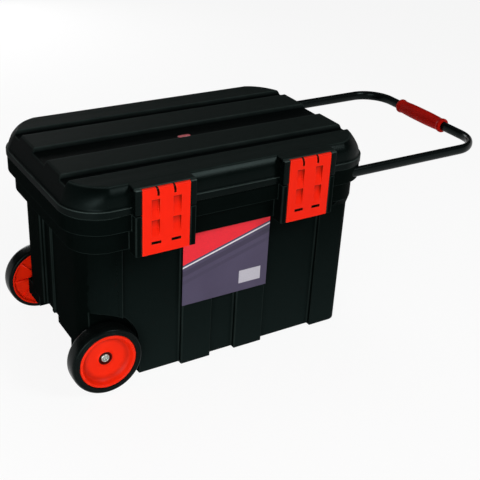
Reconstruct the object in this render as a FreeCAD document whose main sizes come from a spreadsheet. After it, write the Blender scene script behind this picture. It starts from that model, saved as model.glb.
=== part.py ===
import FreeCAD, Part
import math
import os
import Sketcher
from types import SimpleNamespace
from FreeCAD import Placement, Rotation, Vector

# Wheeled tool chest: tub and hinged lid, two flap latches, a sliding pull handle and two wheels.
# +X points to the handle end, -Y to the latches, +Z up. The origin is on the floor, under the
# middle of the lid.

# Driving dimensions in millimetres
SIZES = [
    ("lid_length", 600, "lid lip, end to end"),
    ("lid_depth", 374, "lid lip, front to back"),
    ("lid_corner", 70, "plan radius of the lid lip"),
    ("lid_wall", 3.5, "thickness of the lid"),
    ("lip_height", 12.5, "upright lip below the dome"),
    ("dome_height", 36, "dome above the lip"),
    ("dome_shoulder", 4, "ledge between lip and dome"),
    ("dome_lean_ends", 15, "how far the end faces lean in"),
    ("dome_lean_sides", 10, "how far the front and back faces lean in"),
    ("groove_depth", 8, "depth of valley and grooves"),
    ("valley_width", 58, "middle valley of the lid"),
    ("inner_band", 65, "width of the two inner bands"),
    ("groove_width", 26, "width of the two grooves"),
    ("seam_height", 346, "top of the tub rim above the floor"),
    ("seam_gap", 0.5, "gap between tub rim and lid lip"),
    ("rim_reveal", 1.5, "tub rim set back from the lid lip"),
    ("rim_height", 30, "upper band of the rim"),
    ("collar_height", 39, "lower band of the rim"),
    ("collar_inset", 13, "lower band set back from the lid lip"),
    ("rim_wall", 3, "thickness of the hollow rim"),
    ("rim_plate", 4, "top plate of the rim"),
    ("wall_inset_ends", 28, "end walls set back from the lid lip"),
    ("wall_inset_sides", 26, "front and back walls set back from the lid lip"),
    ("wall_corner", 55, "plan radius of the tub wall at the wheels"),
    ("handle_corner", 20, "plan radius of the tub wall at the handle"),
    ("wall_draft", 1.5, "lean of the walls from rim to floor"),
    ("tub_wall", 4, "thickness of the tub"),
    ("panel_recess", 10, "depth of the front and back panels"),
    ("end_recess", 8, "depth of the end channels"),
    ("panel_span", 406, "from corner block to corner block"),
    ("rib_centre", 57, "front rib from the middle"),
    ("rib_width", 62, "front rib"),
    ("channel_centre", 16, "end channel from the middle"),
    ("channel_width", 72, "end channel"),
    ("channel_rib", 10, "rib in the end channel"),
    ("cove_height", 16, "slope under the rim at the handle end"),
    ("wheel_radius", 66, "tyre"),
    ("wheel_width", 32, "tyre"),
    ("wheel_inset", 8, "wheel face behind the lid lip"),
    ("axle_inset", 59, "axle from the end of the lid"),
    ("axle_radius", 6, "steel axle"),
    ("tyre_depth", 13, "tyre from tread to hub"),
    ("tyre_round", 5, "rounding of the tyre shoulders"),
    ("hub_rim", 6, "thickness of the hub rim"),
    ("hub_flange", 3, "flange behind the tyre"),
    ("hub_flare", 5, "flange above the hub rim"),
    ("hub_web", 4, "thickness of the hub dish"),
    ("hub_dish", 18, "depth of the hub dish"),
    ("hub_boss", 13, "radius of the hub boss"),
    ("spokes", 8, "ribs behind the hub dish"),
    ("spoke_width", 3, "ribs behind the hub dish"),
    ("cap_radius", 8.5, "axle cap"),
    ("cap_length", 5, "axle cap without its dome"),
    ("arch_radius", 84, "wheel well"),
    ("arch_shift", 12, "wheel well centre outside the axle"),
    ("arch_gap", 8, "wheel well wall behind the wheel"),
    ("tunnel_height", 76, "floor raised over the axle"),
    ("skirt_foot", 66, "end wall above the floor, in front of the tunnel"),
    ("tunnel_reach", 26, "tunnel wall inside the axle"),
    ("leg_width", 60, "axle leg"),
    ("leg_foot", 45, "underside of the axle leg above the floor"),
    ("leg_wall", 5, "thickness of the axle leg"),
    ("latch_centre", 142, "latch from the middle"),
    ("latch_width", 87, "latch plate"),
    ("latch_plate", 7, "latch plate"),
    ("latch_drop", 117, "from latch pin to the lower edge"),
    ("latch_proud", 12, "latch face in front of the lid lip"),
    ("latch_gap", 0.5, "gap beside and behind the latch plate"),
    ("latch_pin_drop", 6, "latch pin below the lid top"),
    ("latch_pin_radius", 2, "latch pin"),
    ("window_width", 18, "recess in the latch plate"),
    ("window_height", 23, "recess in the latch plate"),
    ("window_depth", 5, "recess in the latch plate"),
    ("window_centre", 20.5, "recess from the middle of the plate"),
    ("window_top", 19, "first recess below the latch pin"),
    ("window_step", 36, "from recess to recess"),
    ("slot_height", 5, "finger slot"),
    ("slot_rise", 18, "finger slot above the lower edge"),
    ("slit_width", 3, "slit in the upper edge"),
    ("slit_length", 12, "slit below the latch pin"),
    ("bar_width", 12, "bars beside the latch"),
    ("catch_drop", 45, "catch rib below the seam"),
    ("catch_height", 10, "catch rib"),
    ("hinge_centre", 170, "hinge from the middle"),
    ("knuckle_length", 20, "one hinge knuckle"),
    ("knuckle_radius", 6, "hinge knuckle"),
    ("knuckle_web", 16, "hinge web below the seam"),
    ("hinge_gap", 1.5, "lid lip to hinge knuckle"),
    ("hinge_pin_radius", 2.5, "hinge pin"),
    ("arm_inset", 12.5, "handle arm behind the lid lip"),
    ("arm_drop", 15, "handle arm below the seam"),
    ("tube_height", 20, "oval handle tube"),
    ("tube_width", 13, "oval handle tube"),
    ("tube_wall", 1.5, "oval handle tube"),
    ("bend_radius", 60, "handle bends at the tube's middle"),
    ("handle_reach", 287, "crossbar beyond the end of the lid"),
    ("handle_travel", 250, "sliding travel of the handle"),
    ("grip_length", 140, "grip"),
    ("grip_shift", 10, "grip behind the middle of the crossbar"),
    ("grip_radius", 15, "grip at its middle"),
    ("grip_waist", 1.5, "grip thinner beside its end collars"),
    ("grip_collar", 7, "end collar of the grip"),
    ("guide_length", 30, "arm guide"),
    ("guide_height", 22, "arm guide"),
    ("guide_side", 6, "arm guide beside the tube"),
    ("shoe_length", 28, "arm shoe"),
    ("screw_radius", 1.75, "guide screw"),
    ("screw_head", 3.5, "guide screw head radius"),
    ("screw_head_height", 2.2, "guide screw head"),
    ("screw_length", 16, "guide screw below its head"),
    ("label_width", 178, "front label"),
    ("label_foot", 128, "front label above the floor"),
    ("label_height", 148, "front label"),
    ("label_sheet", 0.6, "front label"),
    ("badge_length", 26, "lid badge"),
    ("badge_width", 14, "lid badge"),
    ("badge_sheet", 1.2, "lid badge"),
    ("badge_shift", 10, "lid badge left of the middle"),
    ("badge_forward", 12, "lid badge in front of the middle"),
    ("running_gap", 0.06, "pin or axle in its bore"),
    ("sliding_gap", 0.3, "moving piece beside a fixed one"),
    ("opening_gap", 0.7, "handle arm in the rim opening"),
]


class Size:
    """A length that carries its number and the sheet expression that gives it."""

    def __init__(self, number, text):
        self.number = number
        self.text = text

    def __add__(self, other):
        return joined(self, "+", other, self.number + sized(other).number)

    def __sub__(self, other):
        return joined(self, "-", other, self.number - sized(other).number)

    def __mul__(self, other):
        return joined(self, "*", other, self.number * sized(other).number)

    def __truediv__(self, other):
        return joined(self, "/", other, self.number / sized(other).number)

    def __neg__(self):
        return sized(0) - self

    __radd__ = __add__
    __rmul__ = __mul__


def sized(value):
    return value if isinstance(value, Size) else Size(value, repr(value))


def joined(first, sign, second, number):
    return Size(number, f"({first.text} {sign} {sized(second).text})")


doc = FreeCAD.newDocument("tool_chest")
sheet = doc.addObject("Spreadsheet::Sheet", "Sizes")
for row, (alias, number, note) in enumerate(SIZES, start=1):
    sheet.set(f"A{row}", note)
    sheet.set(f"B{row}", str(number))
    sheet.setAlias(f"B{row}", alias)
doc.recompute()
s = SimpleNamespace(**{alias: Size(number, f"Sizes.{alias}") for alias, number, note in SIZES})

# How sketches name their origin and the ends of an edge
ORIGIN = (-1, 1)
START, END = range(1, 3)
TURNS = {
    "x": Rotation(Vector(0, 1, 0), 90),
    "y": Rotation(Vector(1, 0, 0), -90),
    "-y": Rotation(Vector(1, 0, 0), 90),
    "z": Rotation(),
}
PLANES = {
    "xy": Rotation(),
    "xz": Rotation(Vector(1, 0, 0), 90),
    "yz": Rotation(Vector(1, 1, 1), 120),
}
SIDES = {"left": -1, "right": 1}
FACES = {"front": -1, "back": 1}


def bind(target, prop, size):
    target.setExpression(prop, sized(size).text)


def place(target, x=0, y=0, z=0, turn=None):
    """Put an object at a bound place, turned if a rotation is given."""
    if turn is not None:
        target.Placement = Placement(Vector(), turn)
    for axis, size in (("x", x), ("y", y), ("z", z)):
        bind(target, f"Placement.Base.{axis}", size)
    return target


def span(side, near, far):
    """A pair of limits from near to far on the positive side, or mirrored to the negative side."""
    near, far = sized(near), sized(far)
    return (near, far) if side > 0 else (-far, -near)


def box(name, x, y, z):
    """A block between pairs of limits."""
    block = doc.addObject("Part::Box", name)
    for side, (low, high) in zip(("Length", "Width", "Height"), (x, y, z)):
        bind(block, side, sized(high) - low)
    return place(block, x[0], y[0], z[0])


def rod(name, axis, radius, low, high, x=0, y=0, z=0):
    """A round bar along one axis between two limits; the other two coordinates place it."""
    bar = doc.addObject("Part::Cylinder", name)
    bind(bar, "Radius", radius)
    bind(bar, "Height", sized(high) - low)
    at = {"x": x, "y": y, "z": z}
    at[axis] = low
    return place(bar, turn=TURNS[axis], **at)


def fix_point(sketch, line, end, x, y):
    """Tie a sketch point to bound coordinates, measured from the sketch's origin."""
    for kind, size in (("DistanceX", sized(x)), ("DistanceY", sized(y))):
        points = (*ORIGIN, line, end) if size.number >= 0 else (line, end, *ORIGIN)
        index = sketch.addConstraint(Sketcher.Constraint(kind, *points, abs(size.number)))
        bind(sketch, f"Constraints[{index}]", size if size.number >= 0 else -size)


def polygon(name, points, plane="xy"):
    """A closed polygon through bound points."""
    sketch = doc.addObject("Sketcher::SketchObject", name)
    corners = [Vector(sized(x).number, sized(y).number) for x, y in points]
    for here, there in zip(corners, corners[1:] + corners[:1]):
        sketch.addGeometry(Part.LineSegment(here, there))
    for line, (x, y) in enumerate(points):
        before = (line - 1) % len(points)
        sketch.addConstraint(Sketcher.Constraint("Coincident", before, END, line, START))
        fix_point(sketch, line, START, x, y)
    sketch.Placement = Placement(Vector(), PLANES[plane])
    return sketch


def outline(name, height, half_x, half_y, corner, right_corner=None):
    """A level rounded rectangle about the Z axis, with its own corners at the +X end where they differ."""
    sketch = doc.addObject("Sketcher::SketchObject", name)
    right_corner = right_corner or corner
    a, b, r, q = half_x.number, half_y.number, corner.number, right_corner.number
    quarter = math.pi / 2
    lines = [
        ((r - a, -b), (a - q, -b)), ((a, q - b), (a, b - q)),
        ((a - q, b), (r - a, b)), ((-a, b - r), (-a, r - b)),
    ]
    arcs = [((a - q, q - b), q), ((a - q, b - q), q), ((r - a, b - r), r), ((r - a, r - b), r)]
    for index, (line, (centre, radius)) in enumerate(zip(lines, arcs)):
        sketch.addGeometry(Part.LineSegment(Vector(*line[0]), Vector(*line[1])))
        circle = Part.Circle(Vector(*centre), Vector(0, 0, 1), radius)
        sketch.addGeometry(Part.ArcOfCircle(circle, (index - 1) * quarter, index * quarter))
    for index in range(4):
        line, arc, following = 2 * index, 2 * index + 1, (2 * index + 2) % 8
        sketch.addConstraint(Sketcher.Constraint("Tangent", line, END, arc, START))
        sketch.addConstraint(Sketcher.Constraint("Tangent", arc, END, following, START))
        sketch.addConstraint(Sketcher.Constraint(("Horizontal", "Vertical")[index % 2], line))
    for arc in (1, 5):
        sketch.addConstraint(Sketcher.Constraint("Equal", arc, arc + 2))
    sizes = [
        (("Radius", 1), right_corner),
        (("Radius", 5), corner),
        (("DistanceY", 0, START, *ORIGIN), half_y),
        (("DistanceX", *ORIGIN, 2, START), half_x),
        (("DistanceY", *ORIGIN, 4, START), half_y),
        (("DistanceX", 6, START, *ORIGIN), half_x),
    ]
    for words, size in sizes:
        index = sketch.addConstraint(Sketcher.Constraint(*words, size.number))
        bind(sketch, f"Constraints[{index}]", size)
    return place(sketch, z=height)


def rounded_block(name, bottom, top):
    """A rounded block between two level outlines, each a height, half length, half depth and corners."""
    loft = doc.addObject("Part::Loft", name)
    loft.Sections = [outline(f"{name}_foot", *bottom), outline(f"{name}_head", *top)]
    loft.Solid = True
    loft.Ruled = True
    return loft


def upright_block(name, low, high, half_x, half_y, corner):
    return rounded_block(name, (low, half_x, half_y, corner), (high, half_x, half_y, corner))


def drawn_out(name, profile, length):
    """A closed profile drawn out square to its own plane."""
    solid = doc.addObject("Part::Extrusion", name)
    solid.Base = profile
    solid.DirMode = "Normal"
    solid.Solid = True
    bind(solid, "LengthFwd", length)
    return solid


def turned(name, points):
    """A solid of revolution about Z through pairs of radius and height."""
    solid = doc.addObject("Part::Revolution", name)
    solid.Source = polygon(f"{name}_profile", points, "xz")
    solid.Axis = Vector(0, 0, 1)
    solid.Angle = 360
    solid.Solid = True
    return solid


def oval(name, high, wide):
    """An upright oval with its middle at the origin, square to X."""
    ring = doc.addObject("Part::Ellipse", name)
    bind(ring, "MajorRadius", high / 2)
    bind(ring, "MinorRadius", wide / 2)
    ring.Placement = Placement(Vector(), Rotation(Vector(0, 1, 0), -90))
    return ring


def fuse(name, pieces):
    whole = doc.addObject("Part::MultiFuse", name)
    whole.Shapes = pieces
    whole.Refine = True
    return whole


def shared(name, pieces):
    whole = doc.addObject("Part::MultiCommon", name)
    whole.Shapes = pieces
    return whole


def cut(name, base, tools):
    whole = doc.addObject("Part::Cut", name)
    whole.Base = base
    whole.Tool = tools[0] if len(tools) == 1 else fuse(f"{name}_cutters", tools)
    whole.Refine = True
    return whole


def rounded_edges(name, base, radius, picked):
    """A base with one radius on the edges that the test picks."""
    doc.recompute()
    solid = doc.addObject("Part::Fillet", name)
    solid.Base = base
    edges = enumerate(base.Shape.Edges, start=1)
    solid.Edges = [(index, radius.number, radius.number) for index, edge in edges if picked(edge)]
    return solid


# Places that several pieces share
lid_x = s.lid_length / 2
lid_y = s.lid_depth / 2
lip_bottom = s.seam_height + s.seam_gap
lip_top = lip_bottom + s.lip_height
lid_top = lip_top + s.dome_height
groove_floor = lid_top - s.groove_depth
valley_edge = s.valley_width / 2
groove_near = valley_edge + s.inner_band
groove_far = groove_near + s.groove_width
rim_foot = s.seam_height - s.rim_height
collar_foot = rim_foot - s.collar_height
plate_under = s.seam_height - s.rim_plate
rim_inner_y = lid_y - s.rim_reveal - s.rim_wall
wall_x = lid_x - s.wall_inset_ends
wall_y = lid_y - s.wall_inset_sides
axle_x = s.axle_inset - lid_x
axle_z = s.wheel_radius
wheel_face = lid_y - s.wheel_inset
wheel_back = wheel_face - s.wheel_width
well_wall = wheel_back - s.arch_gap
tunnel_x = axle_x + s.tunnel_reach
leg_near = well_wall - s.leg_width
latch_face = lid_y + s.latch_proud
latch_back = latch_face - s.latch_plate
latch_seat = latch_back - s.latch_gap
latch_pin_y = latch_face - s.latch_plate / 2
latch_pin_z = lid_top - s.latch_pin_drop
latch_half = s.latch_width / 2
bar_near = latch_half + s.latch_gap
bar_far = bar_near + s.bar_width
hinge_y = lid_y + s.hinge_gap + s.knuckle_radius
hinge_z = s.seam_height
arm_y = lid_y - s.arm_inset
arm_z = s.seam_height - s.arm_drop
bar_x = lid_x + s.handle_reach
arm_start = s.handle_travel - lid_x + s.lid_corner
inner_guide_x = arm_start + s.shoe_length + s.sliding_gap
outer_guide_x = lid_x - s.lid_corner - s.guide_length
guide_near = arm_y - s.tube_width / 2 - s.guide_side
screw_y = guide_near + s.guide_side / 2

nodes = []


def node(piece):
    """Name a finished piece as a sub-part of the chest."""
    nodes.append(piece)
    return piece


def both(low_high):
    return (-low_high, low_high)


# Tub
def wall_blocks(prefix, thin):
    """Corner blocks, front and back ribs and channel ribs, thinned on every side."""
    half_span = s.panel_span / 2 + thin
    heights = (thin, collar_foot + s.tub_wall - thin)
    rib_edges = (s.rib_centre - s.rib_width / 2 + thin, s.rib_centre + s.rib_width / 2 - thin)
    blocks = []
    for hand, side in SIDES.items():
        for face, way in FACES.items():
            channel_side = s.channel_width / 2 + way * s.channel_centre
            corner = (span(side, half_span, lid_x), span(way, channel_side + thin, lid_y))
            blocks.append(box(f"{prefix}_corner_{hand}_{face}", *corner, heights))
            rib = (span(side, *rib_edges), span(way, wall_y / 2, lid_y))
            blocks.append(box(f"{prefix}_rib_{hand}_{face}", *rib, heights))
    return fuse(f"{prefix}_blocks", blocks)


def wall_block(name, thin, floor, ends_in, sides_in, top):
    """The drafted inside or outside of the tub wall."""
    corners = (s.wall_corner - thin, s.handle_corner - thin)
    high = (top, wall_x - ends_in - thin, wall_y - sides_in - thin, *corners)
    low_x = wall_x - s.wall_draft - ends_in - thin
    low_y = wall_y - s.wall_draft - sides_in - thin
    return rounded_block(name, (floor, low_x, low_y, *corners), high)


def wheel_wells(prefix, thin, tunnel_start):
    """The space of both wheel wells and the axle tunnel behind its skirt, grown by a wall."""
    pieces = []
    far = lid_y + s.latch_proud
    centre_x = axle_x - s.arch_shift
    radius = s.arch_radius + thin
    for face, way in FACES.items():
        low, high = span(way, well_wall - thin, far)
        pieces.append(rod(f"{prefix}_arch_{face}", "y", radius, low, high, x=centre_x, z=axle_z))
        below = ((-lid_x - s.arch_radius, centre_x + radius), (low, high), (-s.tub_wall, axle_z))
        pieces.append(box(f"{prefix}_below_{face}", *below))
    across = both(well_wall - thin / 2)
    for part, start, top in (("tunnel", tunnel_start, s.tunnel_height), ("skirt", -lid_x, s.skirt_foot)):
        pieces.append(box(f"{prefix}_{part}", (start, tunnel_x + thin), across, (-s.tub_wall, top + thin)))
    return fuse(prefix, pieces)


def axle_leg(face, way):
    """A box-shaped skirt under the tub that carries one end of the axle."""
    end_x = -wall_x + s.wall_draft
    outer = box(
        f"leg_{face}_outer", (end_x, tunnel_x), span(way, leg_near, well_wall),
        (s.leg_foot, s.tunnel_height + s.tub_wall / 2),
    )
    hollow = box(
        f"leg_{face}_hollow", (end_x + s.leg_wall, tunnel_x),
        span(way, leg_near + s.leg_wall, well_wall - s.leg_wall), (s.leg_foot, s.tunnel_height),
    )
    return cut(f"leg_{face}", outer, [hollow])


def tub_rim(fittings):
    """The hollow stepped rim with its fittings, open below, with a flat top plate."""
    upper = upright_block(
        "rim_upper", rim_foot, s.seam_height, lid_x - s.rim_reveal, lid_y - s.rim_reveal,
        s.lid_corner - s.rim_reveal,
    )
    lower = upright_block(
        "rim_lower", collar_foot, rim_foot, lid_x - s.collar_inset, lid_y - s.collar_inset,
        s.lid_corner - s.collar_inset,
    )
    thin = s.rim_reveal + s.rim_wall
    deep = s.collar_inset + s.rim_wall
    upper_hollow = upright_block(
        "rim_upper_hollow", rim_foot + s.rim_wall, plate_under, lid_x - thin, lid_y - thin,
        s.lid_corner - thin,
    )
    lower_hollow = upright_block(
        "rim_lower_hollow", collar_foot - s.rim_wall, rim_foot + s.rim_wall, lid_x - deep, lid_y - deep,
        s.lid_corner - deep,
    )
    return cut("rim", fuse("rim_solid", [upper, lower, *fittings]), [upper_hollow, lower_hollow])


def end_cove():
    """The slope that carries the rim at the handle end."""
    low = collar_foot - s.cove_height
    skin = rounded_block(
        "cove_skin", (low, wall_x, wall_y, s.wall_corner, s.handle_corner),
        (collar_foot, lid_x - s.collar_inset, lid_y - s.collar_inset, s.lid_corner - s.collar_inset),
    )
    end = box("cove_end", (lid_x - s.lid_corner, lid_x), both(lid_y), (low, collar_foot))
    return shared("cove", [skin, end])


def latch_bars(prefix, back, low, high):
    """The pairs of bars beside both latches."""
    bars = []
    for hand, side in SIDES.items():
        for edge, way in (("inner", -1), ("outer", 1)):
            near, far = span(way, bar_near, bar_far)
            limits = (side * s.latch_centre + near, side * s.latch_centre + far)
            bars.append(box(f"{prefix}_{hand}_{edge}", limits, (-latch_face, -back), (low, high)))
    return bars


def catch_ribs(back):
    ribs = []
    top = s.seam_height - s.catch_drop
    for hand, side in SIDES.items():
        middle = side * s.latch_centre
        limits = (middle - latch_half + s.bar_width, middle + latch_half - s.bar_width)
        ribs.append(box(f"catch_{hand}", limits, (-latch_seat, -back), (top - s.catch_height, top)))
    return ribs


def knuckles(prefix, offsets, half, web_low, web_high, web_back):
    """Hinge knuckles at the given offsets from each hinge, with the webs that carry them."""
    pieces = []
    for hand, side in SIDES.items():
        for index, offset in enumerate(offsets):
            middle = side * s.hinge_centre + offset
            ends = (middle - half, middle + half)
            name = f"{prefix}_{hand}_{index}"
            pieces.append(rod(f"{name}_barrel", "x", s.knuckle_radius, *ends, y=hinge_y, z=hinge_z))
            pieces.append(box(f"{name}_web", ends, (web_back, hinge_y), (web_low, web_high)))
    return pieces


def hinge_bores(prefix, radius):
    reach = s.knuckle_length * 2
    return [
        rod(f"{prefix}_{hand}", "x", radius, side * s.hinge_centre - reach, side * s.hinge_centre + reach,
            y=hinge_y, z=hinge_z)
        for hand, side in SIDES.items()
    ]


def arm_bores(prefix, low, high, gap):
    """The oval ways of both handle arms along X."""
    bores = []
    for face, way in FACES.items():
        ring = oval(f"{prefix}_{face}_oval", s.tube_height + gap * 2, s.tube_width + gap * 2)
        place(ring, low, way * arm_y, arm_z, ring.Placement.Rotation)
        bore = doc.addObject("Part::Extrusion", f"{prefix}_{face}")
        bore.Base = ring
        bore.DirMode = "Custom"
        bore.Dir = Vector(1, 0, 0)
        bore.Solid = True
        bind(bore, "LengthFwd", high - low)
        bores.append(bore)
    return bores


def guide_places():
    """Name, start and side of each arm guide."""
    for where, low in (("inner", inner_guide_x), ("outer", outer_guide_x)):
        for face, way in FACES.items():
            yield f"{where}_{face}", low, way


def screw_ways(prefix, head, shank):
    """The four guide screws, or the space round them."""
    pieces = []
    for place_name, low, way in guide_places():
        at = {"x": low + s.guide_length / 2, "y": way * screw_y}
        seat = s.seam_height - s.screw_head_height
        top = rod(f"{prefix}_{place_name}_head", "z", head, seat, s.seam_height, **at)
        stem = rod(f"{prefix}_{place_name}_stem", "z", shank, seat - s.screw_length, seat, **at)
        pieces.append(fuse(f"{prefix}_{place_name}", [top, stem]))
    return pieces


def make_tub():
    core = wall_block("core", 0, sized(0), s.end_recess, s.panel_recess, s.seam_height)
    skin = wall_block("skin", 0, sized(0), 0, 0, s.seam_height)
    proud = shared("proud_blocks", [skin, wall_blocks("outer", sized(0))])
    across = (s.channel_centre - s.channel_rib / 2, s.channel_centre + s.channel_rib / 2)
    channel_ribs = shared("channel_ribs", [
        wall_block("channel_skin", 0, sized(0), s.end_recess / 2, 0, s.seam_height),
        fuse("channel_rib_blocks", [
            box(f"channel_rib_{hand}", span(side, wall_x / 2, lid_x), across, (0, collar_foot))
            for hand, side in SIDES.items()
        ]),
    ])
    outside = fuse("tub_outside", [core, proud, channel_ribs])

    above = s.seam_height + s.tub_wall
    core_room = wall_block("core_room", s.tub_wall, s.tub_wall, s.end_recess, s.panel_recess, above)
    skin_room = wall_block("skin_room", s.tub_wall, s.tub_wall, 0, 0, s.seam_height)
    block_room = shared("block_room", [skin_room, wall_blocks("inner", s.tub_wall)])
    well_walls = wheel_wells("well_walls", s.tub_wall, -lid_x)
    room = cut("room", fuse("full_room", [core_room, block_room]), [well_walls])
    skirt_back = s.wall_draft - wall_x + s.end_recess + s.tub_wall
    shell = cut("shell", outside, [wheel_wells("wells", sized(0), skirt_back)])

    collar_skin = lid_y - s.collar_inset - s.rim_wall
    fittings = latch_bars("tub_bar", collar_skin, latch_pin_z - s.latch_drop, s.seam_height - s.seam_gap)
    fittings += catch_ribs(collar_skin)
    half = s.knuckle_length / 2
    web_low = s.seam_height - s.knuckle_web
    offsets = (-s.knuckle_length, s.knuckle_length)
    fittings += knuckles("tub_knuckle", offsets, half, web_low, s.seam_height, collar_skin)
    legs = [axle_leg(face, way) for face, way in FACES.items()]
    whole = [shell, tub_rim(fittings), end_cove(), *legs]

    holes = [room]
    holes += hinge_bores("tub_hinge_bore", s.hinge_pin_radius + s.running_gap)
    holes += arm_bores("rim_opening", lid_x - s.lid_corner, lid_x, s.opening_gap)
    holes += screw_ways("screw_way", s.screw_head + s.sliding_gap, s.screw_radius + s.running_gap)
    axle_bore = s.axle_radius + s.running_gap
    holes.append(rod("axle_way", "y", axle_bore, -well_wall, well_wall, x=axle_x, z=axle_z))
    return cut("tub", fuse("tub_whole", whole), holes)


node(make_tub())


# Lid
def dome(name, thin, top):
    """The leaning dome, thinned from outside and cut off at a height."""
    foot_x = lid_x - s.dome_shoulder - thin
    foot_y = lid_y - s.dome_shoulder - thin
    corner = s.lid_corner - s.dome_shoulder - thin
    share = (top - lip_top) / s.dome_height
    head_x = foot_x - s.dome_lean_ends * share
    head_y = foot_y - s.dome_lean_sides * share
    return rounded_block(name, (lip_top, foot_x, foot_y, corner), (top, head_x, head_y, corner))


def strips(prefix, limits, low, high):
    """Lengthwise strips between pairs of distances from the middle, on both sides of it."""
    pieces = []
    for index, (near, far) in enumerate(limits):
        for face, way in FACES.items():
            pieces.append(box(f"{prefix}_{index}_{face}", both(lid_x), span(way, near, far), (low, high)))
    return pieces


def make_lid():
    lip = upright_block("lip", lip_bottom, lip_top, lid_x, lid_y, s.lid_corner)
    pads = []
    hollows = []
    for hand, side in SIDES.items():
        middle = side * s.latch_centre
        limits = (middle - bar_far, middle + bar_far)
        pads.append(box(f"pad_{hand}", limits, (-latch_seat, -groove_far), (lip_bottom, lid_top)))
        inside = (middle - bar_far + s.lid_wall, middle + bar_far - s.lid_wall)
        depth = (s.lid_wall - latch_seat, -groove_far)
        hollows.append(box(f"pad_hollow_{hand}", inside, depth, (lip_bottom, groove_floor - s.lid_wall)))
    groove_limits = [(0, valley_edge), (groove_near, groove_far)]
    grooves = strips("groove", groove_limits, groove_floor, lid_top + s.lid_wall)
    crown = cut("crown", dome("dome_outside", sized(0), lid_top), grooves)

    bars = latch_bars("lid_bar", latch_seat, lip_bottom + s.seam_gap, latch_pin_z + s.latch_plate / 2)
    web_back = lid_y - s.lid_wall / 2
    half = s.knuckle_length / 2 - s.sliding_gap
    hinges = knuckles("lid_knuckle", (sized(0),), half, lip_bottom, lip_top - s.lid_wall, web_back)

    thin = s.dome_shoulder + s.lid_wall
    lip_room = upright_block("lip_room", lip_bottom, lip_top, lid_x - thin, lid_y - thin, s.lid_corner - thin)
    low_room = dome("low_room", s.lid_wall, groove_floor - s.lid_wall)
    band_limits = [
        (valley_edge + s.lid_wall, groove_near - s.lid_wall), (groove_far + s.lid_wall, lid_y),
    ]
    band_strips = fuse("band_strips", strips("band_room", band_limits, lip_top, lid_top))
    band_room = shared("band_rooms", [dome("high_room", s.lid_wall, lid_top - s.lid_wall), band_strips])

    holes = [lip_room, low_room, band_room, *hollows]
    holes += hinge_bores("lid_hinge_bore", s.hinge_pin_radius + s.running_gap)
    for hand, side in SIDES.items():
        ends = (side * s.latch_centre - bar_far, side * s.latch_centre + bar_far)
        bore = s.latch_pin_radius + s.running_gap
        holes.append(rod(f"lid_pin_bore_{hand}", "x", bore, *ends, y=-latch_pin_y, z=latch_pin_z))
    return cut("lid", fuse("lid_whole", [lip, crown, *pads, *bars, *hinges]), holes)


node(make_lid())


# Hinge pins and latch pins
for hand, side in SIDES.items():
    middle = side * s.hinge_centre
    reach = s.knuckle_length * 1.5
    ends = (middle - reach, middle + reach)
    node(rod(f"hinge_pin_{hand}", "x", s.hinge_pin_radius, *ends, y=hinge_y, z=hinge_z))
    middle = side * s.latch_centre
    ends = (middle - bar_far, middle + bar_far)
    node(rod(f"latch_pin_{hand}", "x", s.latch_pin_radius, *ends, y=-latch_pin_y, z=latch_pin_z))


# Latches
def make_latch(hand, middle):
    foot = latch_pin_z - s.latch_drop
    sides = (middle - latch_half, middle + latch_half)
    plate = box(f"plate_{hand}", sides, (-latch_face, -latch_back), (foot, latch_pin_z))
    barrel = rod(f"barrel_{hand}", "x", s.latch_plate / 2, *sides, y=-latch_pin_y, z=latch_pin_z)
    bore = s.latch_pin_radius + s.running_gap
    cuts = [rod(f"pin_way_{hand}", "x", bore, *sides, y=-latch_pin_y, z=latch_pin_z)]
    for column, way in (("a", -1), ("b", 1)):
        centre = middle + way * s.window_centre
        across = (centre - s.window_width / 2, centre + s.window_width / 2)
        recess = (-latch_face, s.window_depth - latch_face)
        for row in range(2):
            top = latch_pin_z - s.window_top - s.window_step * row
            cuts.append(box(f"window_{hand}_{column}{row}", across, recess, (top - s.window_height, top)))
        through = (-latch_face, -latch_back)
        slot = (foot + s.slot_rise, foot + s.slot_rise + s.slot_height)
        cuts.append(box(f"slot_{hand}_{column}", across, through, slot))
        slit = (centre - s.slit_width / 2, centre + s.slit_width / 2)
        cuts.append(box(f"slit_{hand}_{column}", slit, through, (latch_pin_z - s.slit_length, lid_top)))
    return cut(f"latch_{hand}", fuse(f"latch_blank_{hand}", [plate, barrel]), cuts)


for hand, side in SIDES.items():
    node(make_latch(hand, side * s.latch_centre))


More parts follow.
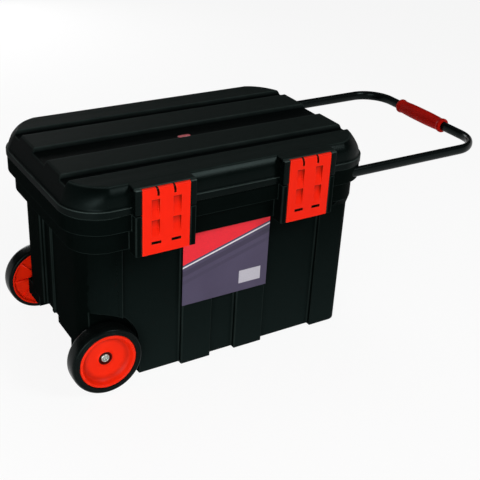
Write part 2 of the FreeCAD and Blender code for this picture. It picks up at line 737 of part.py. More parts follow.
# Pull handle
def handle_path():
    """The middle line of the tube: front arm, crossbar and back arm with two bends."""
    path = doc.addObject("Sketcher::SketchObject", "handle_path")
    start, bar, arm, bend = arm_start.number, bar_x.number, arm_y.number, s.bend_radius.number
    quarter = math.pi / 2
    upward = Vector(0, 0, 1)
    front_bend = Part.Circle(Vector(bar - bend, bend - arm), upward, bend)
    back_bend = Part.Circle(Vector(bar - bend, arm - bend), upward, bend)
    path.addGeometry(Part.LineSegment(Vector(start, -arm), Vector(bar - bend, -arm)))
    path.addGeometry(Part.ArcOfCircle(front_bend, -quarter, 0))
    path.addGeometry(Part.LineSegment(Vector(bar, bend - arm), Vector(bar, arm - bend)))
    path.addGeometry(Part.ArcOfCircle(back_bend, 0, quarter))
    path.addGeometry(Part.LineSegment(Vector(bar - bend, arm), Vector(start, arm)))
    for piece in range(4):
        path.addConstraint(Sketcher.Constraint("Tangent", piece, END, piece + 1, START))
    for line, way in ((0, "Horizontal"), (2, "Vertical"), (4, "Horizontal")):
        path.addConstraint(Sketcher.Constraint(way, line))
    path.addConstraint(Sketcher.Constraint("Equal", 1, 3))
    sizes = [
        (("Radius", 1), s.bend_radius),
        (("DistanceX", *ORIGIN, 0, START), arm_start),
        (("DistanceY", 0, START, *ORIGIN), arm_y),
        (("DistanceX", *ORIGIN, 2, START), bar_x),
        (("DistanceX", *ORIGIN, 4, END), arm_start),
        (("DistanceY", *ORIGIN, 4, END), arm_y),
    ]
    for words, size in sizes:
        index = path.addConstraint(Sketcher.Constraint(*words, size.number))
        bind(path, f"Constraints[{index}]", size)
    return place(path, z=arm_z)


def bent_bar(name, path, high, wide):
    """An oval section carried along the handle path."""
    ring = oval(f"{name}_section", high, wide)
    place(ring, arm_start, -arm_y, arm_z, ring.Placement.Rotation)
    bar = doc.addObject("Part::Sweep", name)
    bar.Sections = [ring]
    bar.Spine = (path, [f"Edge{index}" for index in range(1, 6)])
    bar.Solid = True
    return bar


path = handle_path()
tube_bar = bent_bar("tube_bar", path, s.tube_height, s.tube_width)
tube_bore = bent_bar("tube_bore", path, s.tube_height - s.tube_wall * 2, s.tube_width - s.tube_wall * 2)
node(cut("handle_tube", tube_bar, [tube_bore]))


def make_grip():
    half = s.grip_length / 2
    neck = s.grip_radius - s.grip_waist
    points = [
        (0, -half), (s.grip_radius, -half), (s.grip_radius, s.grip_collar - half),
        (neck, s.grip_collar * 1.5 - half), (s.grip_radius, 0), (neck, half - s.grip_collar * 1.5),
        (s.grip_radius, half - s.grip_collar), (s.grip_radius, half), (0, half),
    ]
    body = place(turned("grip_body", points), bar_x, s.grip_shift, arm_z, TURNS["y"])
    ring = oval("grip_bore_oval", s.tube_height + s.running_gap * 2, s.tube_width + s.running_gap * 2)
    across = Rotation(Vector(0, 0, 1), 90) * ring.Placement.Rotation
    place(ring, bar_x, s.grip_shift - half, arm_z, across)
    bore = doc.addObject("Part::Extrusion", "grip_bore")
    bore.Base = ring
    bore.DirMode = "Custom"
    bore.Dir = Vector(0, 1, 0)
    bore.Solid = True
    bind(bore, "LengthFwd", s.grip_length)
    return cut("handle_grip", body, [bore])


node(make_grip())


# Arm shoes and guides in the hollow rim
def arm_block(name, low, length, side_gap, top_gap, way):
    """A block round a handle arm, under the rim plate."""
    across = span(way, guide_near + side_gap, rim_inner_y - side_gap)
    top = plate_under - top_gap
    return box(name, (low, low + length), across, (plate_under - s.guide_height + top_gap, top))


shoe_sockets = arm_bores("shoe_socket", arm_start, arm_start + s.shoe_length, s.running_gap)
for (face, way), socket in zip(FACES.items(), shoe_sockets):
    block = arm_block(f"shoe_block_{face}", arm_start, s.shoe_length, s.opening_gap, s.opening_gap, way)
    node(cut(f"arm_shoe_{face}", block, [socket]))

guide_bores = {
    "inner": arm_bores("inner_guide_bore", inner_guide_x, inner_guide_x + s.guide_length, s.sliding_gap),
    "outer": arm_bores("outer_guide_bore", outer_guide_x, outer_guide_x + s.guide_length, s.sliding_gap),
}
screw_hole = s.screw_radius + s.running_gap
guide_holes = screw_ways("guide_hole", screw_hole, screw_hole)
for (guide, low, way), hole in zip(guide_places(), guide_holes):
    block = arm_block(f"guide_block_{guide}", low, s.guide_length, 0, 0, way)
    bore = guide_bores[guide.split("_")[0]][0 if way < 0 else 1]
    node(cut(f"arm_guide_{guide}", block, [bore, hole]))

screws = doc.addObject("Part::Compound", "guide_screws")
screws.Links = screw_ways("screw", s.screw_head, s.screw_radius)
node(screws)


# Axle, wheels and their small pieces
axle_end = wheel_face - s.hub_dish + s.cap_length - s.hub_web
node(rod("axle", "y", s.axle_radius, -axle_end, axle_end, x=axle_x, z=axle_z))

hub_outer = s.wheel_radius - s.tyre_depth
hub_inner = hub_outer - s.hub_rim
bore = s.axle_radius + s.running_gap
dish_floor = s.wheel_width - s.hub_dish
flange_radius = hub_outer + s.hub_flare
flare_end = s.hub_flange + s.hub_flare


def at_wheel(piece, outward, distance):
    """Stand a turned piece on the axle, its Z axis pointing away from the tub."""
    turn = TURNS["-y"] if outward < 0 else TURNS["y"]
    return place(piece, axle_x, outward * distance, axle_z, turn)


def make_hub(face):
    """A dished disc with a rim, and ribs behind the dish."""
    edge = s.hub_rim / 2
    profile = [
        (bore, 0), (s.hub_boss, 0), (s.hub_boss, dish_floor - s.hub_web),
        (hub_inner, s.wheel_width - s.hub_dish / 2), (hub_inner, s.sliding_gap),
        (flange_radius, s.sliding_gap), (flange_radius, s.hub_flange), (hub_outer, flare_end),
        (hub_outer, s.wheel_width - edge), (hub_outer - edge, s.wheel_width),
        (hub_inner, s.wheel_width), (hub_inner - edge, s.wheel_width - edge * 2),
        (s.hub_boss, dish_floor), (bore, dish_floor),
    ]
    disc = turned(f"hub_disc_{face}", profile)
    depth = (edge, dish_floor + s.hub_dish / 4)
    ribs = []
    count = int(s.spokes.number)
    near, half = s.hub_boss - edge, s.spoke_width / 2
    for index in range(count):
        angle = 2 * math.pi * index / count
        along, aside = math.cos(angle), math.sin(angle)
        rib = box(f"spoke_{face}_{index}", (near, hub_inner + edge / 2), both(half), depth)
        turn = Rotation(Vector(0, 0, 1), math.degrees(angle))
        ribs.append(place(rib, near * along + half * aside, near * aside - half * along, depth[0], turn))
    web_side = turned(f"behind_dish_{face}", [
        (bore, 0), (hub_inner, 0), (hub_inner, s.wheel_width - s.hub_dish / 2),
        (s.hub_boss, dish_floor - s.hub_web / 2), (bore, dish_floor - s.hub_web / 2),
    ])
    spokes = shared(f"spokes_{face}", [web_side, fuse(f"spoke_blanks_{face}", ribs)])
    return fuse(f"wheel_hub_{face}", [disc, spokes])


def make_tyre(face):
    seat = flange_radius + s.running_gap
    ring = turned(f"tyre_blank_{face}", [
        (seat, 0), (s.wheel_radius, 0), (s.wheel_radius, s.wheel_width),
        (hub_outer + s.running_gap, s.wheel_width), (hub_outer + s.running_gap, flare_end),
        (seat, s.hub_flange),
    ])
    tread = s.wheel_radius.number
    return rounded_edges(f"tyre_{face}", ring, s.tyre_round, lambda edge: at_radius(edge, tread))


def at_radius(edge, radius):
    """True for a full circle of that radius."""
    return isinstance(edge.Curve, Part.Circle) and abs(edge.Curve.Radius - radius) < 1e-6


cap_seat = dish_floor + s.sliding_gap
for face, way in FACES.items():
    node(at_wheel(make_hub(face), way, wheel_back))
    node(at_wheel(make_tyre(face), way, wheel_back))
    cap = turned(f"axle_cap_{face}", [
        (0, s.cap_length), (s.axle_radius, s.cap_length), (s.axle_radius, 0), (s.cap_radius, 0),
        (s.cap_radius, s.cap_length), (s.axle_radius, s.cap_length * 1.5), (0, s.cap_length * 1.7),
    ])
    node(at_wheel(cap, way, wheel_back + cap_seat))
    spacer_length = s.arch_gap - s.sliding_gap
    spacer = turned(f"axle_spacer_{face}", [
        (bore, 0), (s.hub_boss, 0), (s.hub_boss, spacer_length), (bore, spacer_length),
    ])
    node(at_wheel(spacer, way, well_wall))


# Label on the front ribs and badge in the lid valley
def wall_line(height):
    """The front face of the ribs at a height."""
    return wall_y - s.wall_draft + s.wall_draft * (height / s.seam_height)


def make_label():
    head = s.label_foot + s.label_height
    foot_y, head_y = wall_line(s.label_foot), wall_line(head)
    profile = polygon("label_profile", [
        (-foot_y - s.label_sheet, s.label_foot), (-foot_y, s.label_foot), (-head_y, head),
        (-head_y - s.label_sheet, head),
    ], "yz")
    place(profile, x=-s.label_width / 2, turn=PLANES["yz"])
    return drawn_out("front_label", profile, s.label_width)


node(make_label())
badge_height = (groove_floor, groove_floor + s.badge_sheet)
badge_ends = (-s.badge_shift - s.badge_length / 2, s.badge_length / 2 - s.badge_shift)
badge_sides = (-s.badge_forward - s.badge_width / 2, s.badge_width / 2 - s.badge_forward)
node(box("lid_badge", badge_ends, badge_sides, badge_height))


# Check every object, then write one file for each piece
doc.recompute()
faults = [item.Name for item in doc.Objects if "Invalid" in item.State or "Error" in item.State]
for piece in nodes:
    piece.Label = piece.Name
    if piece.Shape.isNull() or not piece.Shape.isValid():
        faults.append(piece.Label)
if faults:
    raise RuntimeError("failed objects: " + ", ".join(faults))
os.makedirs("parts", exist_ok=True)
for piece in nodes:
    piece.Shape.exportStep(f"parts/{piece.Label}.step")
    print(piece.Label, len(piece.Shape.Solids), round(piece.Shape.Volume / 1000, 2), "cm3")
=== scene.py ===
import math
import bmesh
import bpy
from mathutils import Matrix, Vector


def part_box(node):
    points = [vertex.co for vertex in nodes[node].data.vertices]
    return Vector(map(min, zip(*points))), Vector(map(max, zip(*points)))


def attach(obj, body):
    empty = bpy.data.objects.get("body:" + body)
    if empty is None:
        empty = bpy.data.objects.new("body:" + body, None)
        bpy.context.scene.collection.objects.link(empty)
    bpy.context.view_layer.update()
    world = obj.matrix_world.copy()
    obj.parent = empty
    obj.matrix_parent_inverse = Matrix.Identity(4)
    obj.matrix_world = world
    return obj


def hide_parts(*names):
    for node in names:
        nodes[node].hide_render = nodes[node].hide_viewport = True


# Wheeled tool chest: black moulded tub and lid, orange latches and hubs, a black pull handle with a
# red grip. Lengths are in metres, in the same frame as the solids: +X to the handle, -Y to the latches.
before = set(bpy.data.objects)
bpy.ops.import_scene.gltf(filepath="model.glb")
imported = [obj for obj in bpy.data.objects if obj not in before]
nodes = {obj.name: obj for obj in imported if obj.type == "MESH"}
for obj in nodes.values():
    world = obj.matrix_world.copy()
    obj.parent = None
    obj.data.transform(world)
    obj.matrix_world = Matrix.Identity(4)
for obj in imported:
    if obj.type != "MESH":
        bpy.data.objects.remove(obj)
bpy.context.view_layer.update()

MM = 0.001
SIDES = {"left": -1, "right": 1}
FACES = {"front": -1, "back": 1}


# Colours, nodes and materials
def colour(code):
    """A six-digit sRGB hex colour as linear RGBA."""
    parts = [int(code[i:i + 2], 16) / 255 for i in (1, 3, 5)]
    return [c / 12.92 if c <= 0.04045 else ((c + 0.055) / 1.055) ** 2.4 for c in parts] + [1.0]


def add(tree, kind, inputs=None, **settings):
    """One node with its settings; each input gets a value or another node's output."""
    node = tree.nodes.new(kind)
    for key, value in settings.items():
        setattr(node, key, value)
    for key, value in (inputs or {}).items():
        if isinstance(value, bpy.types.NodeSocket):
            tree.links.new(value, node.inputs[key])
        else:
            node.inputs[key].default_value = value
    return node


def finish_of(name, **surface):
    """A new material with one Principled surface, and its object coordinates."""
    material = bpy.data.materials.new(name)
    material.use_nodes = True
    tree = material.node_tree
    tree.nodes.clear()
    values = {key.replace("_", " "): value for key, value in surface.items()}
    shader = add(tree, "ShaderNodeBsdfPrincipled", values)
    add(tree, "ShaderNodeOutputMaterial", {"Surface": shader.outputs[0]})
    return material, tree, shader, add(tree, "ShaderNodeTexCoord").outputs["Object"]


def lay_on(tree, shader, paint, rough, bump=None):
    """Lead a colour, a roughness and a bump to a material's surface."""
    tree.links.new(paint.outputs[2], shader.inputs["Base Color"])
    tree.links.new(rough.outputs[0], shader.inputs["Roughness"])
    if bump:
        tree.links.new(bump.outputs[0], shader.inputs["Normal"])


def pale_for_wear_and_highlight(tree, paint, cloud, pale):
    """A colour with a paler one where the surface is marked as rubbed, a paleness that is partly a painted
    highlight on edges, broken up by a cloud.
    """
    wear_and_highlight = add(tree, "ShaderNodeAttribute", attribute_name="wear_and_highlight")
    paled = add(tree, "ShaderNodeMath", {
        0: wear_and_highlight.outputs["Fac"], 1: cloud.outputs["Fac"],
    }, operation="MULTIPLY")
    return add(tree, "ShaderNodeMix", {
        "Factor": paled.outputs[0], 6: paint.outputs[2], 7: colour(pale),
    }, data_type="RGBA")


# Black plastic looks faintly green beside the orange, in its skin and in its shine.
BLACK_SHINE = colour("#DDFFFB")
# Painted light bounced up from the floor, drawn as a greyer skin, thins out up to this height, on walls at
# least this far from the middle of the depth.
FLOOR_BOUNCE_TOP = 270 * MM
OUTER_WALL_FROM = 142 * MM
# The painted shade of the lowered strips fades out over this width beyond the outer grooves.
GROOVE_FADE = 2 * MM


def satin_black(name, low, high, floor_bounce_tone, smooth, dull):
    """Black polypropylene from a fine spark-eroded mould: a soft shine that is uneven where the melt
    cooled unevenly, painted light from the floor that greys the lower front and back, dull scuffed
    ends, and edges rubbed paler, partly as a painted highlight. The 0.3 mm grit is drawn at 0.8 mm to show."""
    material, tree, shader, place = finish_of(
        name, IOR=1.49, Specular_IOR_Level=0.008, Specular_Tint=BLACK_SHINE)
    cloud = add(tree, "ShaderNodeTexNoise", {"Vector": place, "Scale": 1 / (90 * MM), "Detail": 3.0})
    grit = add(tree, "ShaderNodeTexNoise", {"Vector": place, "Scale": 1 / (0.8 * MM), "Detail": 3.0})
    skin = add(tree, "ShaderNodeMix", {
        "Factor": cloud.outputs["Fac"], 6: colour(low), 7: colour(high),
    }, data_type="RGBA")
    parts = add(tree, "ShaderNodeSeparateXYZ", {0: place})
    low_down = add(tree, "ShaderNodeMapRange", {
        "Value": parts.outputs["Z"], "From Min": FLOOR_BOUNCE_TOP, "From Max": 0.0,
    })
    front = add(tree, "ShaderNodeAttribute", attribute_name="lengthwise")
    # Painted bounce light from the floor: the outer front and back walls turn greyer towards the bottom.
    floor_bounce = add(tree, "ShaderNodeMath", {
        0: low_down.outputs[0], 1: front.outputs["Fac"],
    }, operation="MULTIPLY")
    with_floor_bounce = add(tree, "ShaderNodeMix", {
        "Factor": floor_bounce.outputs[0], 6: skin.outputs[2], 7: colour(floor_bounce_tone),
    }, data_type="RGBA")
    # Edges paler: rubbed wear, and partly a painted highlight.
    paint = pale_for_wear_and_highlight(tree, with_floor_bounce, cloud, "#222B29")
    rough = add(tree, "ShaderNodeMapRange", {
        "Value": cloud.outputs["Fac"], "From Min": 0.3, "From Max": 0.7, "To Min": smooth, "To Max": dull,
    })
    bump = add(tree, "ShaderNodeBump", {
        "Height": grit.outputs["Fac"], "Strength": 0.1, "Distance": 0.2 * MM,
    })
    scuffed = add(tree, "ShaderNodeMix", {
        "Factor": front.outputs["Fac"], "A": 0.95, "B": rough.outputs[0],
    })
    lay_on(tree, shader, paint, scuffed, bump)
    return material


def grained_black(groove_far, band_low, band_high):
    """Black polypropylene from an etched mould: a streaky leather grain runs along the raised bands
    and scatters light, while the sides are smooth and darker and the lowered strips are smooth and
    painted near black as shade; the ends are scuffed dull and edges are rubbed paler, partly as a
    painted highlight. The 0.5 mm grain is drawn at 1.6 mm across, and 14 times as long, to show."""
    material, tree, shader, place = finish_of(
        "polypropylene_grained", IOR=1.49, Specular_IOR_Level=0.055, Specular_Tint=BLACK_SHINE)
    drawn_out = add(tree, "ShaderNodeMapping", {"Vector": place, "Scale": (1 / 14, 1.0, 1.0)})
    streak = add(tree, "ShaderNodeTexNoise", {
        "Vector": drawn_out.outputs[0], "Scale": 1 / (1.6 * MM), "Detail": 4.0,
    })
    cloud = add(tree, "ShaderNodeTexNoise", {"Vector": place, "Scale": 1 / (70 * MM), "Detail": 4.0})
    grit = add(tree, "ShaderNodeTexNoise", {"Vector": place, "Scale": 1 / (1.0 * MM), "Detail": 3.0})
    parts = add(tree, "ShaderNodeSeparateXYZ", {0: place})
    band = add(tree, "ShaderNodeMapRange", {
        "Value": parts.outputs["Z"], "From Min": band_low, "From Max": band_high,
    })
    across = add(tree, "ShaderNodeMath", {0: parts.outputs["Y"]}, operation="ABSOLUTE")
    inside = add(tree, "ShaderNodeMapRange", {
        "Value": across.outputs[0], "From Min": groove_far + GROOVE_FADE, "From Max": groove_far,
    })
    lowered = add(tree, "ShaderNodeMath", {0: 1.0, 1: band.outputs[0]}, operation="SUBTRACT")
    valley = add(tree, "ShaderNodeMath", {
        0: inside.outputs[0], 1: lowered.outputs[0],
    }, operation="MULTIPLY")
    grain = add(tree, "ShaderNodeMath", {
        0: streak.outputs["Fac"], 1: band.outputs[0],
    }, operation="MULTIPLY")
    skin = add(tree, "ShaderNodeMix", {
        "Factor": cloud.outputs["Fac"], 6: colour("#010403"), 7: colour("#050A09"),
    }, data_type="RGBA")
    streaked = add(tree, "ShaderNodeMix", {
        "Factor": grain.outputs[0], 6: skin.outputs[2], 7: colour("#1C2422"),
    }, data_type="RGBA")
    # Painted shade: below the band tops, within the outer grooves, the skin is painted near black.
    painted_shade = add(tree, "ShaderNodeMix", {
        "Factor": valley.outputs[0], 6: streaked.outputs[2], 7: colour("#000202"),
    }, data_type="RGBA")
    # Edges paler: rubbed wear, and partly a painted highlight.
    paint = pale_for_wear_and_highlight(tree, painted_shade, cloud, "#4A5653")
    coarse = add(tree, "ShaderNodeMapRange", {
        "Value": streak.outputs["Fac"], "To Min": 0.68, "To Max": 0.86,
    })
    satin = add(tree, "ShaderNodeMapRange", {"Value": cloud.outputs["Fac"], "To Min": 0.2, "To Max": 0.32})
    ends = add(tree, "ShaderNodeAttribute", attribute_name="scuffed")
    scuffed = add(tree, "ShaderNodeMix", {"Factor": ends.outputs["Fac"], "A": satin.outputs[0], "B": 0.75})
    rough = add(tree, "ShaderNodeMix", {
        "Factor": band.outputs[0], "A": scuffed.outputs[0], "B": coarse.outputs[0],
    })
    height = add(tree, "ShaderNodeMath", {
        0: grain.outputs[0], 1: grit.outputs["Fac"],
    }, operation="ADD")
    bump = add(tree, "ShaderNodeBump", {
        "Height": height.outputs[0], "Strength": 0.3, "Distance": 0.25 * MM,
    })
    lay_on(tree, shader, paint, rough, bump)
    return material


def moulded_orange(name, base, deep):
    """Orange-red ABS, injection moulded: an even colour and a satin skin with slight flow marks,
    edges rubbed paler, partly as a painted highlight, and painted shade in the recesses and on the
    walls of holes. The 0.4 mm grit is drawn at 1.2 mm to show."""
    material, tree, shader, place = finish_of(name, IOR=1.53, Specular_IOR_Level=0.08)
    flow = add(tree, "ShaderNodeTexNoise", {"Vector": place, "Scale": 1 / (35 * MM), "Detail": 2.0})
    grit = add(tree, "ShaderNodeTexNoise", {"Vector": place, "Scale": 1 / (1.2 * MM), "Detail": 2.0})
    shade = add(tree, "ShaderNodeMix", {
        "Factor": flow.outputs["Fac"], 6: colour(deep), 7: colour(base),
    }, data_type="RGBA")
    # Painted shade: marked parts turn dark red, in the finger windows, on slot and slit walls, and in the
    # hub's dish and axle recess.
    painted_shade = add(tree, "ShaderNodeAttribute", attribute_name="painted_shade")
    hole_wall_shade = add(tree, "ShaderNodeAttribute", attribute_name="hole_wall_shade")
    shade_share = add(tree, "ShaderNodeMath", {
        0: painted_shade.outputs["Fac"], 1: hole_wall_shade.outputs["Fac"],
    }, operation="MAXIMUM")
    with_painted_shade = add(tree, "ShaderNodeMix", {
        "Factor": shade_share.outputs[0], 6: shade.outputs[2], 7: colour("#4A0701"),
    }, data_type="RGBA")
    # Edges paler: rubbed wear, and partly a painted highlight.
    paint = pale_for_wear_and_highlight(tree, with_painted_shade, flow, "#FF6A45")
    rough = add(tree, "ShaderNodeMapRange", {"Value": flow.outputs["Fac"], "To Min": 0.34, "To Max": 0.5})
    bump = add(tree, "ShaderNodeBump", {
        "Height": grit.outputs["Fac"], "Strength": 0.06, "Distance": 0.1 * MM,
    })
    lay_on(tree, shader, paint, rough, bump)
    return material


def mottled(name, cloud, tones, dullness, grain=None, **surface):
    """A finish whose tone and dullness drift together over clouds, given by size and detail, with a
    bump from a grain, given by size, detail, strength and depth. Sizes and depth are in millimetres."""
    material, tree, shader, place = finish_of(name, **surface)
    size, detail = cloud
    drift = add(tree, "ShaderNodeTexNoise", {"Vector": place, "Scale": 1 / (size * MM), "Detail": detail})
    paint = add(tree, "ShaderNodeMix", {
        "Factor": drift.outputs["Fac"], 6: colour(tones[0]), 7: colour(tones[1]),
    }, data_type="RGBA")
    rough = add(tree, "ShaderNodeMapRange", {
        "Value": drift.outputs["Fac"], "To Min": dullness[0], "To Max": dullness[1],
    })
    bump = None
    if grain:
        size, detail, strength, depth = grain
        fine = add(tree, "ShaderNodeTexNoise", {
            "Vector": place, "Scale": 1 / (size * MM), "Detail": detail,
        })
        bump = add(tree, "ShaderNodeBump", {
            "Height": fine.outputs["Fac"], "Strength": strength, "Distance": depth * MM,
        })
    lay_on(tree, shader, paint, rough, bump)
    return material


# The label's design, in shares of its length and height: how steeply its bands slant, each band's
# lower edge, upper edge and ink, and the middle and half size of its box each way
BAND_SLANT = 0.35
LABEL_BANDS = (
    (0.56, 1.5, "#E2222F"), (0.515, 0.535, "#D8D5DA"), (0.40, 0.47, "#3A3449"), (0.29, 0.34, "#3F394F"),
)
BOX_ALONG, BOX_UPWARD = (0.79, 0.13), (0.2, 0.09)


def printed_film():
    """Printed vinyl film, laminated: satin, with ink laid down as a violet-grey ground, a slanted red
    field with a pale rule under it, two slanted stripes tone on tone and one empty pale box. The
    screen dots of 0.1 mm are drawn at 1.5 mm to show, and the film is slightly wavy."""
    material, tree, shader, place = finish_of("printed_vinyl_film", IOR=1.5, Specular_IOR_Level=0.22)
    low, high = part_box("front_label")
    parts = add(tree, "ShaderNodeSeparateXYZ", {0: place})
    along = add(tree, "ShaderNodeMapRange", {
        "Value": parts.outputs["X"], "From Min": low.x, "From Max": high.x,
    })
    upward = add(tree, "ShaderNodeMapRange", {
        "Value": parts.outputs["Z"], "From Min": low.z, "From Max": high.z,
    })
    slope = add(tree, "ShaderNodeMath", {
        0: along.outputs[0], 1: -BAND_SLANT, 2: upward.outputs[0],
    }, operation="MULTIPLY_ADD")
    dots = add(tree, "ShaderNodeTexNoise", {"Vector": place, "Scale": 1 / (1.5 * MM), "Detail": 3.0})
    cloud = add(tree, "ShaderNodeTexNoise", {"Vector": place, "Scale": 1 / (60 * MM), "Detail": 2.0})

    ink = add(tree, "ShaderNodeMix", {
        "Factor": cloud.outputs["Fac"], 6: colour("#3F384F"), 7: colour("#4B445C"),
    }, data_type="RGBA").outputs[2]
    for start, end, code in LABEL_BANDS:
        middle, half = (start + end) / 2, (end - start) / 2
        inside = add(tree, "ShaderNodeMath", {
            0: slope.outputs[0], 1: middle, 2: half,
        }, operation="COMPARE")
        ink = add(tree, "ShaderNodeMix", {
            "Factor": inside.outputs[0], 6: ink, 7: colour(code),
        }, data_type="RGBA").outputs[2]
    within = []
    for place_in_label, (middle, half) in ((along, BOX_ALONG), (upward, BOX_UPWARD)):
        within.append(add(tree, "ShaderNodeMath", {
            0: place_in_label.outputs[0], 1: middle, 2: half,
        }, operation="COMPARE"))
    empty_box = add(tree, "ShaderNodeMath", {
        0: within[0].outputs[0], 1: within[1].outputs[0],
    }, operation="MULTIPLY")
    ink = add(tree, "ShaderNodeMix", {
        "Factor": empty_box.outputs[0], 6: ink, 7: colour("#B9B6BF"),
    }, data_type="RGBA").outputs[2]
    screened = add(tree, "ShaderNodeMapRange", {
        "Value": dots.outputs["Fac"], "From Min": 0.3, "From Max": 0.7, "To Min": 0.0, "To Max": 0.16,
    })
    paint = add(tree, "ShaderNodeMix", {
        "Factor": screened.outputs[0], 6: ink, 7: colour("#2A2632"),
    }, data_type="RGBA")
    rough = add(tree, "ShaderNodeMapRange", {"Value": cloud.outputs["Fac"], "To Min": 0.3, "To Max": 0.44})
    bump = add(tree, "ShaderNodeBump", {
        "Height": cloud.outputs["Fac"], "Strength": 0.15, "Distance": 1.0 * MM,
    })
    lay_on(tree, shader, paint, rough, bump)
    return material


LID_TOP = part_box("lid")[1].z
GROOVE_DEPTH = 8 * MM
VALLEY_HALF = 29 * MM
GROOVE_NEAR, GROOVE_FAR = 94 * MM, 120 * MM
GRAIN_LOW, GRAIN_FULL = LID_TOP - 2.5 * MM, LID_TOP - 0.5 * MM

lid_plastic = grained_black(GROOVE_FAR, GRAIN_LOW, GRAIN_FULL)
tub_plastic = satin_black("polypropylene_satin", "#020504", "#060B0A", "#131B1A", 0.5, 0.65)
inner_plastic = satin_black("polypropylene_plain", "#060A0A", "#0B1010", "#101615", 0.55, 0.65)
latch_plastic = moulded_orange("abs_orange", "#E81F05", "#DE1B04")
hub_plastic = moulded_orange("abs_orange_hub", "#EA280A", "#DA2006")
label_film = printed_film()
# Black tyre rubber, press moulded: a soft sheen under a patchy bloom of grey dust, and pores of
# 0.2 mm, drawn at 0.9 mm to show
rubber = mottled(
    "tyre_rubber_moulded", (14, 5.0), ("#030505", "#0B0F0E"), (0.16, 0.34), (0.9, 3.0, 0.12, 0.15),
    IOR=1.52, Specular_IOR_Level=0.06, Specular_Tint=BLACK_SHINE)
# Steel tube with black powder coat: semi-gloss, with the slight orange peel of melted powder
tube_coat = mottled(
    "powder_coated_steel", (60, 3.0), ("#040606", "#0C1010"), (0.16, 0.3), (2.5, 2.0, 0.08, 0.15),
    IOR=1.5, Specular_IOR_Level=0.08, Specular_Tint=BLACK_SHINE)
# Red soft vinyl, moulded as a sleeve: dull and slightly greasy, with darker smudges, and a skin
# texture of 0.3 mm, drawn at 1.1 mm to show
vinyl = mottled(
    "soft_vinyl_red", (22, 3.0), ("#920A02", "#B81105"), (0.36, 0.52), (1.1, 3.0, 0.1, 0.15),
    IOR=1.53, Specular_IOR_Level=0.04)
# Zinc-plated steel: bright grey metal, blurred by the crystals of the plating, drawn at 1.5 mm to show
zinc = mottled(
    "zinc_plated_steel", (1.5, 4.0), ("#8F9390", "#C6C9C3"), (0.25, 0.42), (1.5, 4.0, 0.08, 0.1),
    Metallic=1.0)
# Steel pins with a hot black oxide: dark grey metal with a faint brown cloud and a little oil
pin_steel = mottled("black_oxide_steel", (4, 3.0), ("#161616", "#2A2826"), (0.3, 0.5), Metallic=1.0)
# Soft enamel poured into a die-cast badge: a glossy pinkish red, slightly cloudy
enamel = mottled(
    "soft_enamel_red", (5, 3.0), ("#C0404A", "#E88A90"), (0.18, 0.32), (5, 3.0, 0.06, 0.3),
    IOR=1.52, Specular_IOR_Level=0.3)


# Softened copies of the moulded solids
MERGE = 0.002 * MM
LEAST_SPAN, LEAST_ROOM = 1e-9, 1e-7
FLAT = math.radians(0.3)
SHARP = math.radians(24)
ROOM_SHARE = 0.45
EDGE_SEGMENTS = 3


def flat_patches(shape):
    """For every face, the outline edges of the flat patch that it belongs to."""
    outlines = {}
    for seed in shape.faces:
        if seed in outlines:
            continue
        patch, waiting = {seed}, [seed]
        while waiting:
            for edge in waiting.pop().edges:
                if edge.calc_face_angle(1) < FLAT:
                    new = [face for face in edge.link_faces if face not in patch]
                    patch.update(new)
                    waiting.extend(new)
        outline = [edge for face in patch for edge in face.edges if edge.calc_face_angle(1) >= FLAT]
        outlines.update(dict.fromkeys(patch, outline))
    return outlines


def room_beside(edge, outlines):
    """The least width of the two flat patches beside an edge, measured from its middle."""
    middle = (edge.verts[0].co + edge.verts[1].co) / 2
    along = (edge.verts[1].co - edge.verts[0].co).normalized()
    least = 1.0
    for face in edge.link_faces:
        inward = face.normal.cross(along)
        if inward.dot(face.calc_center_median() - middle) < 0:
            inward = -inward
        for other in outlines[face]:
            start, end = (v.co - middle for v in other.verts)
            a, b = start.dot(along), end.dot(along)
            if other is edge or a * b > 0 or abs(a - b) < LEAST_SPAN:
                continue
            reach = start.dot(inward) + (end - start).dot(inward) * a / (a - b)
            if reach > LEAST_ROOM:
                least = min(least, reach)
    return least


def stand_in(name, shape):
    """An object made from a shape, smoothly shaded and at the origin."""
    for face in shape.faces:
        face.smooth = True
    mesh = bpy.data.meshes.new(name)
    shape.to_mesh(mesh)
    shape.free()
    piece = bpy.data.objects.new(name, mesh)
    bpy.context.scene.collection.objects.link(piece)
    return piece


def settled(piece):
    """The piece as a plain mesh, without its modifiers."""
    graph = bpy.context.evaluated_depsgraph_get()
    mesh = bpy.data.meshes.new_from_object(
        piece.evaluated_get(graph), preserve_all_data_layers=True, depsgraph=graph)
    piece.modifiers.clear()
    piece.data = mesh
    return piece


